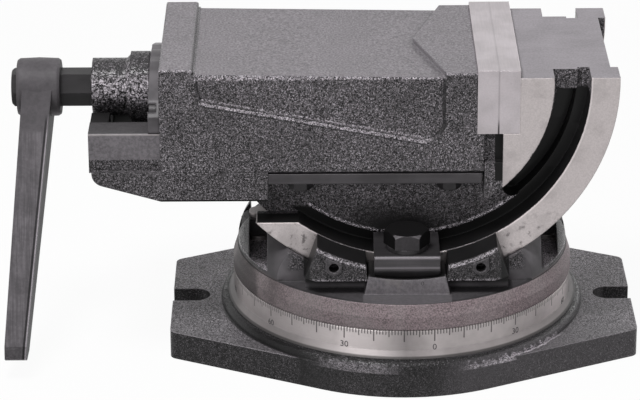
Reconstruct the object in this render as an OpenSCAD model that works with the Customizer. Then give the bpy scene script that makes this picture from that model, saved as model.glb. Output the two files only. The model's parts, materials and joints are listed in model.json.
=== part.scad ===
// Tilting and swivelling machine vise with a crank handle.
// X runs along the vise screw, with the handle at -X and the fixed jaw at +X. Y runs across the jaws.
// The origin lies on the swivel axis, on the underside of the base plate.

/* [Base plate] */
// Half length of the base plate, from the swivel axis to each slotted end
base_half_l = 142; // [136:1:150]
// Half width of the base plate at its slotted ends
base_end_half_w = 57; // [50:1:62]
// Radius of the four rounded corners
base_corner_r = 6; // [4:0.5:8]
// Radius of the round middle of the base plate
base_bulge_r = 112; // [112:1:116]
// Thickness of the base plate
base_t = 17.5; // [15:0.5:18]
// Width of the two open slots for the table bolts
slot_w = 18; // [14:1:20]
// Distance from the plate's end to the centre of each slot's round end
slot_depth = 14; // [10:1:18]
// Radius of the flared foot of the graduated ring
foot_r = 107.5; // [106:0.5:108]
// Height of the flared foot over the plate
foot_h = 5.5; // [4:0.5:6]

/* [Swivel] */
// Radius of the graduated ring
dial_r = 104; // [102:0.5:105]
// Height of the graduated ring's top over the underside of the base
dial_top = 40; // [39:0.5:42]
// Thickness of the swivel table's rim
rim_t = 15.5; // [14:0.5:16]
// Radius at which the rim's top edge ends
rim_top_r = 101.5; // [101.5:0.5:102]
// Radius of the circle on which the swivel bolts run
tee_r = 88; // [86:0.5:88]
// Width of the circular T-slot's neck
tee_neck_w = 13; // [12.5:0.5:14]
// Width of the circular T-slot's wide part
tee_w = 21; // [20:0.5:24]
// Depth of the T-slot's neck
tee_neck_h = 8; // [7:0.5:9]
// Height of the T-slot's wide part
tee_h = 9; // [8:0.5:10]
// Radius of the central spigot that the table turns on
spigot_r = 20; // [16:0.5:26]
// Height of the central spigot
spigot_h = 9; // [7:0.5:11]

/* [Tilting rocker] */
// Distance from the swivel axis to the plane of the tilt axis
tilt_x = 1; // [0:0.5:4]
// Height of the tilt axis
tilt_z = 179; // [179:0.5:181]
// Outer radius of the two rocker flanges
rocker_r = 125; // [123:0.5:126]
// Inner radius of the flanges, where the clamps press
flange_in_r = 108; // [106.5:0.5:108.5]
// Radius of the web between the flanges
web_r = 101; // [100:0.5:103]
// Outer radius of the middle of the rocker
core_r = 120.5; // [116:0.5:121]
// Radius of the fixed jaw's machined sides
cheek_r = 86.5; // [80:0.5:87]
// Half thickness of the web
web_half = 47; // [46:0.5:47.5]
// Half width of the middle of the rocker, at the bottom of the grooves
core_half = 44; // [40:0.5:45]
// Height at which the flanges end under the handle's side
flange_end_z = 92; // [88:1:96]
// Inner radius of the deep slot behind each groove
deep_r = 89.5; // [88:0.5:95]
// Depth of that slot, behind the bottom of the groove
deep_d = 14; // [8:1:18]

/* [Jaws] */
// Width of both jaws
jaw_w = 125; // [124.5:0.5:126]
// Height of the jaw plates
plate_h = 39.5; // [36:0.5:40]
// Thickness of the jaw plates
plate_t = 12.5; // [11:0.5:13]
// Distance from the swivel axis to the plane where the closed jaws meet
meet_x = 55; // [53:0.5:57]
// How far the jaws open
opening = 95; // [80:1:95]
// Height of the fixed jaw's top
fixed_top = 183; // [181:0.5:184]
// Length of the movable jaw's top behind the plate
jaw_l = 187.5; // [184:0.5:190]
// Height of the movable jaw's middle beside the plate
jaw_mid_top = 182.5; // [182:0.5:184]
// Rise of the movable jaw's middle towards the handle end
roof_rise = 3; // [1:0.5:3]
// Height of the land at the movable jaw's handle end
land_top = 189; // [189:0.5:190.5]
// Length of that land
land_l = 20; // [16:1:24]
// Height of the pointed pad behind the movable plate
pad_top = 186; // [185.5:0.5:187]
// Depth of the panels in the movable jaw's sides
panel_d = 2.4; // [1.4:0.2:2.6]
// Thickness of the skirts that hang over the ways
skirt_t = 3.6; // [3.4:0.1:4]

/* [Ways] */
// Height of the machined way surfaces
way_z = 148; // [147:0.5:149]
// Width of each way
way_w = 19; // [17:0.5:20]
// Distance from the swivel axis to the handle end of the ways
way_end = 187.5; // [184:0.5:192]
// Height of the flat underside of the body's handle end
body_low = 106; // [104:0.5:107]
// Height of the skirts' lower edge
skirt_low = 124.5; // [124:0.25:126]
// Thickness of the side rails under the ways
rail_t = 6.3; // [5:0.1:7]
// Length of the side rails
rail_l = 126.5; // [120:0.5:127]
// Width across flats of the rail bolts' heads
rail_bolt_af = 13; // [10:1:13]
// Distance between the two bolts of a side rail
rail_bolt_gap = 88.5; // [70:0.5:100]

/* [Screw and handle] */
// Height of the screw's axis
screw_z = 156; // [155.5:0.25:157]
// Radius of the threaded part
screw_r = 10; // [8:0.5:10.5]
// Radius of the smooth neck that runs in the bracket
journal_r = 11; // [10.5:0.25:12]
// Width across flats of the hexagonal end
hex_af = 20.5; // [19:0.5:21]
// Radius of the bracket's collar
collar_r = 17.5; // [16.5:0.25:18]
// Radius of the bracket's flange
flange_r = 21.5; // [20:0.5:22]
// Length of the bracket's collar beyond its end plate
collar_l = 35.5; // [32:0.5:38]
// Thickness of the bracket's end plate
end_plate_t = 7; // [6:0.5:8]
// Radius of the crank's hub
hub_r = 18; // [16:0.5:20]
// Length of the crank's hub
hub_l = 26; // [22:1:30]
// Distance between the collar and the hub
hub_gap = 19.5; // [15:0.5:22]
// How far the hexagon stands out of the hub
hex_out = 3.5; // [2:0.5:6]
// Length of the crank's arm from the screw's axis
arm_l = 166; // [140:1:170]
// Thickness of the arm along the screw at its end
arm_t = 13; // [11:0.5:14]
// Width of the arm at its end
arm_w = 20; // [16:0.5:24]
// Angle by which the arm leans away from the vise
arm_lean = 4.6; // [0:0.1:6]
// Angle between the arm and the vertical plane through the screw
arm_turn = 30; // [20:1:50]

/* [Tilt clamps] */
// Width of each clamp block
clamp_w = 39; // [36:0.5:40]
// Distance from the vise's middle to a clamp block's outer face
clamp_out = 86; // [85:0.5:87]
// Height of the seat under each clamp block
seat_z = 65; // [63:0.5:66]
// Height of the top of each clamp block
clamp_top = 79.5; // [78.5:0.5:80.5]
// Radius of the clamp bolts
clamp_bolt_r = 8; // [6:0.5:8]
// Width across flats of the clamp bolts' heads
clamp_bolt_af = 24; // [18:1:24]
// Thickness of the washers under the clamp bolts
clamp_washer_t = 3; // [1.5:0.25:3]

/* [Hidden] */
$fn = 96;
paint = [0.30, 0.30, 0.31];
bare = [0.70, 0.68, 0.66];
ring_grey = [0.48, 0.46, 0.45];
black = [0.16, 0.16, 0.17];
steel = [0.55, 0.55, 0.57];

// Overrun of every cut past the surface it cuts
over = 1;
// Clearances: a shaft in its bore, a sliding face, a curved face beside another
run = 0.05;
slide = 0.1;
clear = 0.3;
// Break of machined edges
edge = 0.8;
root3 = sqrt(3);
jaw_half = jaw_w / 2;

// Base plate and graduated ring
tee_low = dial_top - tee_neck_h - tee_h;
skirt_w = 4.3;
skirt_r = foot_r + skirt_w;
ring_flare = 4;
corner_x = base_half_l - base_corner_r;
corner_y = base_end_half_w - base_corner_r;
corner_d = norm([corner_x, corner_y]);
side_turn = atan2(corner_y, corner_x) + acos((base_bulge_r - base_corner_r) / corner_d);
side_normal = [cos(side_turn), sin(side_turn)];

// Swivel table: dome, cheeks with their lock screws, seats of the clamps
table_top = dial_top + rim_t;
dome_r = 101;
dome_low = 57;
dome_round = 27;
dome_top = dome_low + dome_round;
saddle_rim = 3.5;
saddle_half = jaw_half + saddle_rim;
trough_r = rocker_r + clear;
leg_low = 64;
leg_in = 23.5;
leg_in_top = 26;
leg_out_top = 51;
leg_out = 60.5;
leg_foot_y = 76;
leg_top = fixed_top / 2;
cheek_in = jaw_half + clear;
lock_x = 43.5;
lock_z = 73;
lock_r = 3;
lock_boss_r = 4.8;
lock_boss_rise = 4.6;
lock_boss_h = 1.2;
cheek_round = 2.6;
lock_l = 16;
seat_half = 22.5;
seat_foot_half = 25.5;
seat_r = tilt_z - seat_z;
seat_rise = 4;

// Swivel bolts
pocket_r = 13;
pocket_z = 59;
channel_w = 11;
stud_r = 6;
stud_gap = 0.5;
tee_head_half = 9;
tee_head_t = 8;
tee_head_top = dial_top - tee_neck_h - slide;
washer_t = 2.5;
washer_r = 12;
nut_af = 19;
nut_h = 10;
stud_end = 3;
stud_top = pocket_z + washer_t + nut_h + stud_end;

// Tilt clamps
clamp_bolt_gap = 1;
clamp_bolt_y = jaw_half + clamp_bolt_r + clamp_bolt_gap;
clamp_in = web_half + 2 * clear;
clamp_washer_r = 12.5;
clamp_head_h = 9;
clamp_bolt_l = 34;
clamp_bolt_z = clamp_top + clamp_washer_t;
clamp_bevel = 2;
clamp_band_z = 70.6;
clamp_undercut = 2.5;

// Body
body_x = -way_end;
plate_low = way_z + slide;
fixed_x = meet_x + plate_t;
step_d = 2.6;
step_x = meet_x + step_d;
jaw_front_x = meet_x - plate_t;
jaw_end_x = jaw_front_x - jaw_l;
way_half = jaw_half - skirt_t - 2 * slide;
trough_half = way_half - way_w;
lip_w = 6;
keeper_half = trough_half + lip_w;
trough_z = 129.5;
lip_z = 137.5;
end_wall_t = 11;
end_wall_top = way_z - over;
end_low = 116.5;
end_inset = 1.6;
end_round = 8;
end_slope = 16;
slope_x = -145;
block_round = 2;
deep_gap = 12;
deep_turn = 48;

// Side rails
rail_x = -81;
block_end_x = rail_x - clear;
rail_gap = 1.4;
rail_top = skirt_low - rail_gap;
rail_low = rail_top - rail_t;
rail_in = web_half + 2 * slide;
rail_bolt_r = 4;
rail_head_h = 5.5;
rail_bolt_y = 53.6;
rail_bolt_l = 14;
rail_mid_x = rail_x + rail_l / 2;
rail_bolts_x = [rail_mid_x - rail_bolt_gap / 2, rail_mid_x + rail_bolt_gap / 2];

// Movable jaw
jaw_toe = 4;
side_x = jaw_front_x + jaw_toe + 2 * clear;
side_z = 130;
hollow_half = trough_half - over;
hollow_top = 176;
hollow_side = 155;
hollow_rise = hollow_top - hollow_side;
hollow_arc_r = (hollow_half ^ 2 + hollow_rise ^ 2) / (2 * hollow_rise);
pad_side_x = 24.5;
pad_point_x = 6;
jaw_round = 2;
land_slope = 1.4;
roof_top = jaw_mid_top + roof_rise;
land_foot = roof_top - roof_rise * land_l / jaw_l;
panel_low = 143.8;
panel_end_z = 168;
panel_lean = 3.5;
panel_round = 13;
panel_slope = 10.5;
panel_step = 1.6;
panel_start = jaw_end_x + land_l + over;
panel_end = pad_side_x - over;

// Nut
thrust_t = 8;
nut_gap = 4.9;
nut_x = jaw_end_x + slide + thrust_t + nut_gap;
nut_l = 24;
nut_half = 17;
nut_top_r = 16;
nut_foot_half = 35;
nut_foot_t = 8;
nut_bolt_y = 27;
nut_bolt_r = 3;
nut_bolt_l = 16;
nut_head_r = 5;
nut_head_h = 6;
nut_bolts_x = [nut_x + nut_l / 4, nut_x + nut_l * 3 / 4];

// Hold-down plate
hollow_end_x = nut_x + nut_l + opening + over;
keeper_x = hollow_end_x + 2 * over;
keeper_end_gap = 4;
keeper_l = jaw_front_x - keeper_x - keeper_end_gap;
keeper_t = 6.5;
keeper_top = lip_z - 2 * slide;
keeper_screw_y = 24;
keeper_screw_r = 4;
keeper_screw_l = 20;
keeper_head_r = 6.5;
keeper_head_h = 4.5;
keeper_screws_x = [keeper_x + keeper_l / 4, keeper_x + keeper_l * 3 / 4];

// Plate screws
plate_screw_y = 40;
plate_screw_z = plate_low + plate_h / 2;
plate_screw_r = 5;
plate_screw_l = 30;
plate_head_r = 8.5;
plate_head_t = 8.5;
plate_screw_in = plate_screw_l - plate_t + plate_head_t;

// Screw, its bracket and thrust collar
plate_out_x = jaw_end_x - end_plate_t;
boss_rim = 1;
boss_r = flange_r + boss_rim;
flange_l = 11.5;
collar_end = collar_l - plate_out_x;
neck_l = 0.8;
flange_x = plate_out_x - neck_l - flange_l;
collar_fillet = 2.5;
wing_top = 166;
wing_bevel = 8;
bracket_screw_y = 50;
bracket_screw_z = 158;
bracket_screw_r = 4;
bracket_screw_l = 20;
bracket_head_r = 6.5;
bracket_head_h = 5;
thrust_r = 15;
screw_tip_x = hollow_end_x - 2 * over;

// Crank
hub_x = -collar_end - hub_gap - hub_l;
hub_edge = 1.5;
hub_crown = 0.5;
hex_x = hub_x - hex_out;
hex_l = -collar_end - clear - hex_x;
arm_root_t = 18;
arm_root_w = 2 * (hub_r - edge);
arm_bevel = 7;
arm_tip_x = hub_l / 2 - arm_l * tan(arm_lean);

// Points of an arc about a centre, from one angle to another
function arc(centre, r, from, to, steps = 8) =
    [for (i = [0:steps]) let (a = from + (to - from) * i / steps) centre + r * [cos(a), sin(a)]];

// A regular hexagon by its width across flats
module hexagon(af) {
    circle(r = af / root3, $fn = 6);
}

// A cylinder along X from x0 to x1
module rod_x(r, x0, x1) {
    translate([x0, 0, 0]) rotate([0, 90, 0]) cylinder(r = r, h = x1 - x0);
}

// A profile drawn in X and Z, with its depth along Y from y0 to y1
module profile_xz(y0, y1) {
    translate([0, y1, 0]) rotate([90, 0, 0]) linear_extrude(y1 - y0) children();
}

// A profile drawn in Y and Z, with its depth along X from x0 to x1
module profile_yz(x0, x1) {
    translate([x0, 0, 0]) rotate([90, 0, 90]) linear_extrude(x1 - x0) children();
}

// A disc about the tilt axis from y0 to y1
module tilt_disc(r, y0, y1) {
    translate([tilt_x, y1, tilt_z]) rotate([90, 0, 0]) cylinder(r = r, h = y1 - y0, $fn = 180);
}

// The same piece at the front and mirrored to the rear
module both_sides() {
    children();
    mirror([0, 1, 0]) children();
}

// The same piece at both ends of the base
module both_ends() {
    children();
    mirror([1, 0, 0]) children();
}

// A hexagon head bolt hanging down from the origin, with its head above
module hex_bolt(af, head_h, r, l) {
    intersection() {
        linear_extrude(head_h) hexagon(af);
        cylinder(r1 = af / 2 + head_h, r2 = af / 2, h = head_h);
    }
    translate([0, 0, -l]) cylinder(r = r, h = l + edge);
}

// A socket head screw hanging down from the origin
module socket_screw(head_r, head_h, r, l) {
    difference() {
        cylinder(r = head_r, h = head_h);
        translate([0, 0, head_h / 2]) linear_extrude(head_h) hexagon(head_r);
    }
    translate([0, 0, -l]) cylinder(r = r, h = l + edge);
}

// Base plate: a plate with a round middle, the graduated ring and the circular T-slot
module base_outline() {
    circle(r = base_bulge_r, $fn = 180);
    both_ends() both_sides() {
        translate([corner_x, corner_y]) circle(r = base_corner_r);
        polygon([[0, 0], [base_half_l, 0], [base_half_l, corner_y],
            [corner_x, corner_y] + base_corner_r * side_normal, base_bulge_r * side_normal]);
    }
}

module dial_ring() {
    rotate_extrude($fn = 180)
        polygon(concat([[0, 0], [skirt_r, 0]], arc([foot_r, base_t], skirt_w, 0, 90),
            [[foot_r, base_t + foot_h], [dial_r, base_t + foot_h + ring_flare],
            [dial_r, dial_top - edge], [dial_r - edge, dial_top], [0, dial_top]]));
}

module tee_slot() {
    rotate_extrude($fn = 180) {
        translate([tee_r - tee_neck_w / 2, tee_low]) square([tee_neck_w, dial_top - tee_low + over]);
        translate([tee_r - tee_w / 2, tee_low]) square([tee_w, tee_h]);
    }
}

module base_plate() {
    color(paint) difference() {
        union() {
            linear_extrude(base_t) base_outline();
            dial_ring();
            cylinder(r = spigot_r, h = dial_top + spigot_h);
        }
        both_ends() translate([base_half_l - slot_depth, 0, -over]) {
            cylinder(r = slot_w / 2, h = base_t + 2 * over);
            translate([0, -slot_w / 2, 0]) cube([slot_depth + over, slot_w, base_t + 2 * over]);
        }
        tee_slot();
    }
}

// Swivel table: a rim, a domed saddle under the rocker, cheeks beside it and a seat for each clamp
module dome() {
    rotate_extrude($fn = 180) {
        polygon([[0, dial_top], [dial_r, dial_top], [dial_r, dial_top + rim_t / 2],
            [rim_top_r, table_top], [0, table_top]]);
        square([dome_r - dome_round, dome_top]);
        translate([0, dial_top]) square([dome_r, dome_low - dial_top]);
        intersection() {
            translate([dome_r - dome_round, dome_low]) circle(r = dome_round);
            square([dome_r, dome_top]);
        }
    }
}

module saddle() {
    difference() {
        intersection() {
            dome();
            union() {
                translate([-dial_r - over, -saddle_half, dial_top])
                    cube([2 * (dial_r + over), 2 * saddle_half, dome_top]);
                translate([0, 0, dial_top]) cylinder(r = dial_r + over, h = rim_t, $fn = 180);
            }
        }
        tilt_disc(trough_r, -saddle_half - over, saddle_half + over);
    }
}

// Everything nearer to the tilt axis than the flanges' inner radius, with a round lip at the cheek's front
module cheek_cut() {
    translate([tilt_x, 0, tilt_z]) rotate([90, 0, 0]) rotate_extrude($fn = 180)
        polygon(concat([[0, -dial_r], [flange_in_r, -dial_r]],
            arc([flange_in_r + cheek_round, clamp_out - cheek_round], cheek_round, 180, 90),
            [[flange_in_r + cheek_round, dial_r], [0, dial_r]]));
}

module cheek() {
    difference() {
        union() {
            profile_xz(-clamp_out, -cheek_in) translate([tilt_x, 0])
                polygon([[leg_in, leg_low], [leg_in_top, leg_top], [leg_out_top, leg_top],
                    [leg_out, leg_low]]);
            translate([tilt_x + leg_in, -leg_foot_y, dial_top])
                cube([leg_out - leg_in, leg_foot_y - cheek_in, leg_low - dial_top + over]);
            translate([tilt_x + lock_x, 0, 0]) profile_xz(-clamp_out - lock_boss_h, -clamp_out + edge) {
                translate([0, lock_z + lock_boss_rise]) circle(r = lock_boss_r);
                translate([-lock_boss_r, lock_z]) square([2 * lock_boss_r, lock_boss_rise]);
                translate([0, lock_z]) circle(r = lock_boss_r);
            }
        }
        cheek_cut();
        translate([tilt_x + lock_x, -jaw_half, lock_z]) rotate([90, 0, 0])
            cylinder(r = lock_r, h = clamp_out);
    }
}

module clamp_seat() {
    difference() {
        profile_xz(-clamp_out - edge, -cheek_in) translate([tilt_x, 0])
            polygon([[-seat_foot_half, dial_top + edge], [-seat_foot_half, table_top],
                [-seat_half, seat_z + seat_rise], [seat_half, seat_z + seat_rise],
                [seat_foot_half, table_top], [seat_foot_half, dial_top + edge]]);
        tilt_disc(seat_r, -dial_r, dial_r);
    }
}

module table_solid() {
    saddle();
    both_sides() intersection() {
        union() {
            cheek();
            translate([2 * tilt_x, 0, 0]) mirror([1, 0, 0]) cheek();
            clamp_seat();
        }
        cylinder(r = dome_r, h = fixed_top);
    }
}

module swivel_table() {
    color(ring_grey) difference() {
        table_solid();
        translate([0, 0, dial_top - over]) cylinder(r = spigot_r + run, h = spigot_h + clear + over);
        both_ends() {
            translate([tee_r, 0, dial_top - over]) cylinder(r = stud_r + stud_gap, h = dome_top);
            translate([tee_r, 0, pocket_z]) cylinder(r = pocket_r, h = dome_top);
            translate([tee_r - channel_w / 2, -dome_r, pocket_z])
                cube([channel_w, 2 * dome_r, dome_top]);
        }
        both_sides() translate([tilt_x, -clamp_bolt_y, clamp_bolt_z - clamp_bolt_l - edge])
            cylinder(r = clamp_bolt_r + run, h = clamp_bolt_l);
    }
}

module swivel_tee_bolts() {
    color(steel) both_ends() translate([tee_r, 0, tee_head_top]) {
        translate([-tee_head_half, -tee_head_half, -tee_head_t])
            cube([2 * tee_head_half, 2 * tee_head_half, tee_head_t]);
        translate([0, 0, -edge]) cylinder(r = stud_r, h = stud_top - tee_head_top + edge);
    }
}

module swivel_washers() {
    color(steel) both_ends() translate([tee_r, 0, pocket_z]) difference() {
        cylinder(r = washer_r, h = washer_t);
        translate([0, 0, -over]) cylinder(r = stud_r + run, h = washer_t + 2 * over);
    }
}

module swivel_nuts() {
    color(black) both_ends() translate([tee_r, 0, pocket_z + washer_t]) difference() {
        intersection() {
            linear_extrude(nut_h) hexagon(nut_af);
            cylinder(r1 = nut_af / 2 + nut_h, r2 = nut_af / 2, h = nut_h);
        }
        translate([0, 0, -over]) cylinder(r = stud_r + run, h = nut_h + 2 * over);
    }
}

module lock_screws() {
    color(black) both_sides() for (s = [-1, 1])
        translate([tilt_x + s * lock_x, -cheek_in - edge, lock_z]) rotate([90, 0, 0]) difference() {
            cylinder(r = lock_r - run, h = lock_l);
            translate([0, 0, lock_l / 2]) linear_extrude(lock_l) hexagon(lock_r);
        }
}

// Clamp block: stands on its round seat, reaches over the flange and presses on its inner radius
module clamp_block() {
    difference() {
        intersection() {
            profile_yz(tilt_x - clamp_w / 2, tilt_x + clamp_w / 2)
                polygon(concat([[-clamp_out, clamp_band_z], [-clamp_out + clamp_undercut, seat_z],
                    [-clamp_in, seat_z], [-clamp_in, clamp_top]],
                    arc([-clamp_out + clamp_bevel, clamp_top - clamp_bevel], clamp_bevel, 90, 180, 4)));
            tilt_disc(seat_r - run, -clamp_out - over, 0);
            union() {
                tilt_disc(flange_in_r - clear, -clamp_out, clamp_out);
                translate([tilt_x - clamp_w, -clamp_out, seat_z])
                    cube([2 * clamp_w, clamp_out - cheek_in, clamp_top - seat_z]);
            }
        }
        translate([tilt_x, -clamp_bolt_y, seat_z - over])
            cylinder(r = clamp_bolt_r + run, h = clamp_top - seat_z + 2 * over);
    }
}

module clamp_block_front() {
    color(black) clamp_block();
}

module clamp_block_rear() {
    color(black) mirror([0, 1, 0]) clamp_block();
}

module clamp_bolt() {
    translate([tilt_x, -clamp_bolt_y, clamp_bolt_z])
        hex_bolt(clamp_bolt_af, clamp_head_h, clamp_bolt_r, clamp_bolt_l);
}

module clamp_bolt_front() {
    color(black) clamp_bolt();
}

module clamp_bolt_rear() {
    color(black) mirror([0, 1, 0]) clamp_bolt();
}

module clamp_washers() {
    color(black) both_sides() translate([tilt_x, -clamp_bolt_y, clamp_top]) difference() {
        cylinder(r = clamp_washer_r, h = clamp_washer_t);
        translate([0, 0, -over]) cylinder(r = clamp_bolt_r + run, h = clamp_washer_t + 2 * over);
    }
}

// Body: the ways, the rocker under them and the fixed jaw, in one casting
module rocker_section() {
    polygon([[-rocker_r, 0], [rocker_r + tilt_x + over, 0], [rocker_r + tilt_x + over, fixed_top],
        [fixed_x, fixed_top], [fixed_x, way_z], [step_x, way_z], [step_x, trough_z],
        [-rocker_r, trough_z]]);
}

module deep_slot() {
    mid_r = (deep_r + web_r) / 2;
    intersection() {
        difference() {
            tilt_disc(web_r, -web_half - over, -web_half + deep_d);
            tilt_disc(deep_r, -web_half - 2 * over, web_half);
        }
        profile_xz(-jaw_half, 0) polygon([[tilt_x, tilt_z],
            [tilt_x + rocker_r * cos(deep_turn), tilt_z - rocker_r * sin(deep_turn)],
            [tilt_x + rocker_r, tilt_z - rocker_r * sin(deep_turn)],
            [tilt_x + rocker_r, fixed_top - deep_gap], [tilt_x, fixed_top - deep_gap]]);
    }
    translate([tilt_x + mid_r * cos(deep_turn), -web_half + deep_d, tilt_z - mid_r * sin(deep_turn)])
        rotate([90, 0, 0]) cylinder(r = (web_r - deep_r) / 2, h = deep_d + over);
}

module rocker_ring() {
    difference() {
        intersection() {
            union() {
                tilt_disc(core_r, -core_half, core_half);
                tilt_disc(web_r, -web_half, web_half);
                difference() {
                    tilt_disc(rocker_r, -jaw_half, jaw_half);
                    tilt_disc(rocker_r + over, -core_half, core_half);
                    tilt_disc(flange_in_r, -jaw_half - over, jaw_half + over);
                }
            }
            profile_xz(-jaw_half, jaw_half) rocker_section();
        }
        difference() {
            both_sides() translate([-rocker_r - over, -jaw_half - over, flange_end_z])
                cube([rocker_r, jaw_half - core_half + over, fixed_top]);
            tilt_disc(web_r, -web_half, web_half);
        }
        both_sides() deep_slot();
    }
}

module handle_end() {
    top = skirt_low - slide;
    corner_x = body_x + end_inset + end_round;
    tangent_x = corner_x - end_round * sin(end_slope);
    tangent_z = body_low + (slope_x - tangent_x) * tan(end_slope);
    profile_xz(-jaw_half, jaw_half) polygon(concat(
        [[body_x + end_inset, top]],
        arc([corner_x, tangent_z + end_round * cos(end_slope)], end_round, 180, 270 - end_slope),
        [[slope_x, body_low]],
        arc([block_end_x - block_round, body_low + block_round], block_round, -90, 0),
        [[block_end_x, top]]));
}

module ways() {
    profile_yz(body_x, step_x)
        polygon([[-way_half, rail_top], [way_half, rail_top], [way_half, way_z - edge],
            [way_half - edge, way_z], [-way_half + edge, way_z], [-way_half, way_z - edge]]);
    profile_yz(body_x + end_wall_t, step_x) translate([-web_half, end_low])
        square([2 * web_half, trough_z - end_low]);
}

module fixed_jaw() {
    intersection() {
        tilt_disc(cheek_r, -jaw_half, jaw_half);
        profile_xz(-jaw_half, jaw_half)
            polygon([[side_x, 0], [rocker_r, 0], [rocker_r, fixed_top], [fixed_x, fixed_top],
                [fixed_x, way_z], [step_x, way_z], [step_x, side_z], [side_x, side_z]]);
    }
}

// The trough between the ways, widened under their lips, and its notched wall at the handle's end
module trough() {
    profile_yz(body_x + end_wall_t, step_x) {
        translate([-keeper_half, trough_z]) square([2 * keeper_half, lip_z - trough_z]);
        translate([-trough_half, trough_z]) square([2 * trough_half, way_z - trough_z + over]);
    }
    translate([body_x - over, -trough_half, end_wall_top])
        cube([end_wall_t + 2 * over, 2 * trough_half, way_z - end_wall_top + over]);
    translate([0, 0, screw_z]) rod_x(boss_r + clear, body_x - over, body_x + end_wall_t + over);
}

module vise_body() {
    color(paint) difference() {
        union() {
            rocker_ring();
            handle_end();
            ways();
            fixed_jaw();
        }
        trough();
        both_sides() {
            translate([fixed_x - over, plate_screw_y, plate_screw_z])
                rod_x(plate_screw_r + run, 0, plate_screw_in + 2 * over);
            for (x = rail_bolts_x) translate([x, rail_bolt_y, rail_top - over])
                cylinder(r = rail_bolt_r + run, h = rail_bolt_l);
            for (x = nut_bolts_x) translate([x, nut_bolt_y, trough_z - nut_bolt_l])
                cylinder(r = nut_bolt_r + run, h = nut_bolt_l + over);
        }
    }
}

// Jaw plates, each held by two sunk screws
module jaw_plate() {
    difference() {
        translate([0, -jaw_half, plate_low]) cube([plate_t, jaw_w, plate_h]);
        both_sides() translate([0, plate_screw_y, plate_screw_z]) {
            rod_x(plate_screw_r + run, -over, plate_t + over);
            rod_x(plate_head_r, -over, plate_head_t);
        }
    }
}

module jaw_plate_screws() {
    both_sides() translate([plate_head_t, plate_screw_y, plate_screw_z]) rotate([0, -90, 0])
        socket_screw(plate_head_r - clear, plate_head_t - edge, plate_screw_r,
            plate_screw_l - plate_head_t);
}

module fixed_plate() {
    color(bare) translate([meet_x, 0, 0]) jaw_plate();
}

module fixed_plate_screws() {
    color(black) translate([meet_x, 0, 0]) jaw_plate_screws();
}

module movable_plate() {
    color(bare) translate([meet_x, 0, 0]) mirror([1, 0, 0]) jaw_plate();
}

module movable_plate_screws() {
    color(black) translate([meet_x, 0, 0]) mirror([1, 0, 0]) jaw_plate_screws();
}

// Side rails: flat bars bolted up under the ways
module side_rails() {
    color(black) both_sides() difference() {
        translate([rail_x, rail_in, rail_low]) cube([rail_l, jaw_half - rail_in, rail_t]);
        for (x = rail_bolts_x) translate([x, rail_bolt_y, rail_low - over])
            cylinder(r = rail_bolt_r + run, h = rail_t + 2 * over);
    }
}

module rail_bolts() {
    color(black) both_sides() for (x = rail_bolts_x)
        translate([x, rail_bolt_y, rail_low]) rotate([180, 0, 0])
            hex_bolt(rail_bolt_af, rail_head_h, rail_bolt_r, rail_bolt_l);
}

// Nut: a block with a round top, bolted to the bottom of the trough
module screw_nut() {
    color(steel) difference() {
        union() {
            translate([nut_x, -nut_half, trough_z]) cube([nut_l, 2 * nut_half, screw_z - trough_z]);
            translate([0, 0, screw_z]) rod_x(nut_top_r, nut_x, nut_x + nut_l);
            translate([nut_x, -nut_foot_half, trough_z]) cube([nut_l, 2 * nut_foot_half, nut_foot_t]);
        }
        translate([0, 0, screw_z]) rod_x(screw_r + run, nut_x - over, nut_x + nut_l + over);
        both_sides() for (x = nut_bolts_x) translate([x, nut_bolt_y, trough_z - over])
            cylinder(r = nut_bolt_r + run, h = nut_foot_t + 2 * over);
    }
}

module nut_bolts() {
    color(black) both_sides() for (x = nut_bolts_x)
        translate([x, nut_bolt_y, trough_z + nut_foot_t])
            socket_screw(nut_head_r, nut_head_h, nut_bolt_r, nut_bolt_l + nut_foot_t - edge);
}

// Movable jaw: a long hollow casting that rides on the ways
module skirts() {
    for (s = [-1, 1]) translate([s * (jaw_half - skirt_t / 2) - skirt_t / 2, skirt_low])
        square([skirt_t, plate_low + over - skirt_low]);
}

// The jaw's section over the ways, with round shoulders at the given height
module shoulders(top) {
    polygon(concat([[-jaw_half, plate_low], [jaw_half, plate_low]],
        arc([jaw_half - jaw_round, top - jaw_round], jaw_round, 0, 90, 5),
        arc([-jaw_half + jaw_round, top - jaw_round], jaw_round, 90, 180, 5)));
}

// The jaw's middle, whose top falls from the handle end to the plate
module roof() {
    profile_xz(-jaw_half, jaw_half)
        polygon([[jaw_end_x, plate_low], [jaw_front_x, plate_low], [jaw_front_x, jaw_mid_top],
            [jaw_end_x, roof_top]]);
}

module land() {
    land_x = jaw_end_x + land_l;
    intersection() {
        profile_yz(jaw_end_x, land_x) shoulders(land_top);
        profile_xz(-jaw_half, jaw_half) polygon(concat(
            [[jaw_end_x, plate_low], [land_x, plate_low]],
            arc([land_x - jaw_round, land_top - jaw_round], jaw_round, 0, 90, 5),
            arc([jaw_end_x + jaw_round, land_top - jaw_round], jaw_round, 90, 180, 5)));
    }
    profile_xz(-jaw_half + 2 * jaw_round, jaw_half - 2 * jaw_round)
        polygon([[land_x, land_foot + land_slope], [land_x - edge, land_foot + land_slope],
            [land_x - edge, land_foot - land_slope], [land_x + 2 * land_slope, land_foot - land_slope]]);
}

module panel_outline() {
    polygon(concat([[panel_start, roof_top + over], [panel_start + panel_lean, panel_end_z]],
        arc([panel_end - panel_round, panel_low + panel_round], panel_round, 270 - panel_slope, 360),
        [[panel_end, roof_top + over]]));
}

// A side panel, sunk in two steps
module side_panel() {
    profile_xz(-jaw_half - over, -jaw_half + panel_d / 2) panel_outline();
    profile_xz(-jaw_half - over, -jaw_half + panel_d) intersection() {
        panel_outline();
        translate([-panel_step, panel_step]) panel_outline();
    }
}

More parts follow.
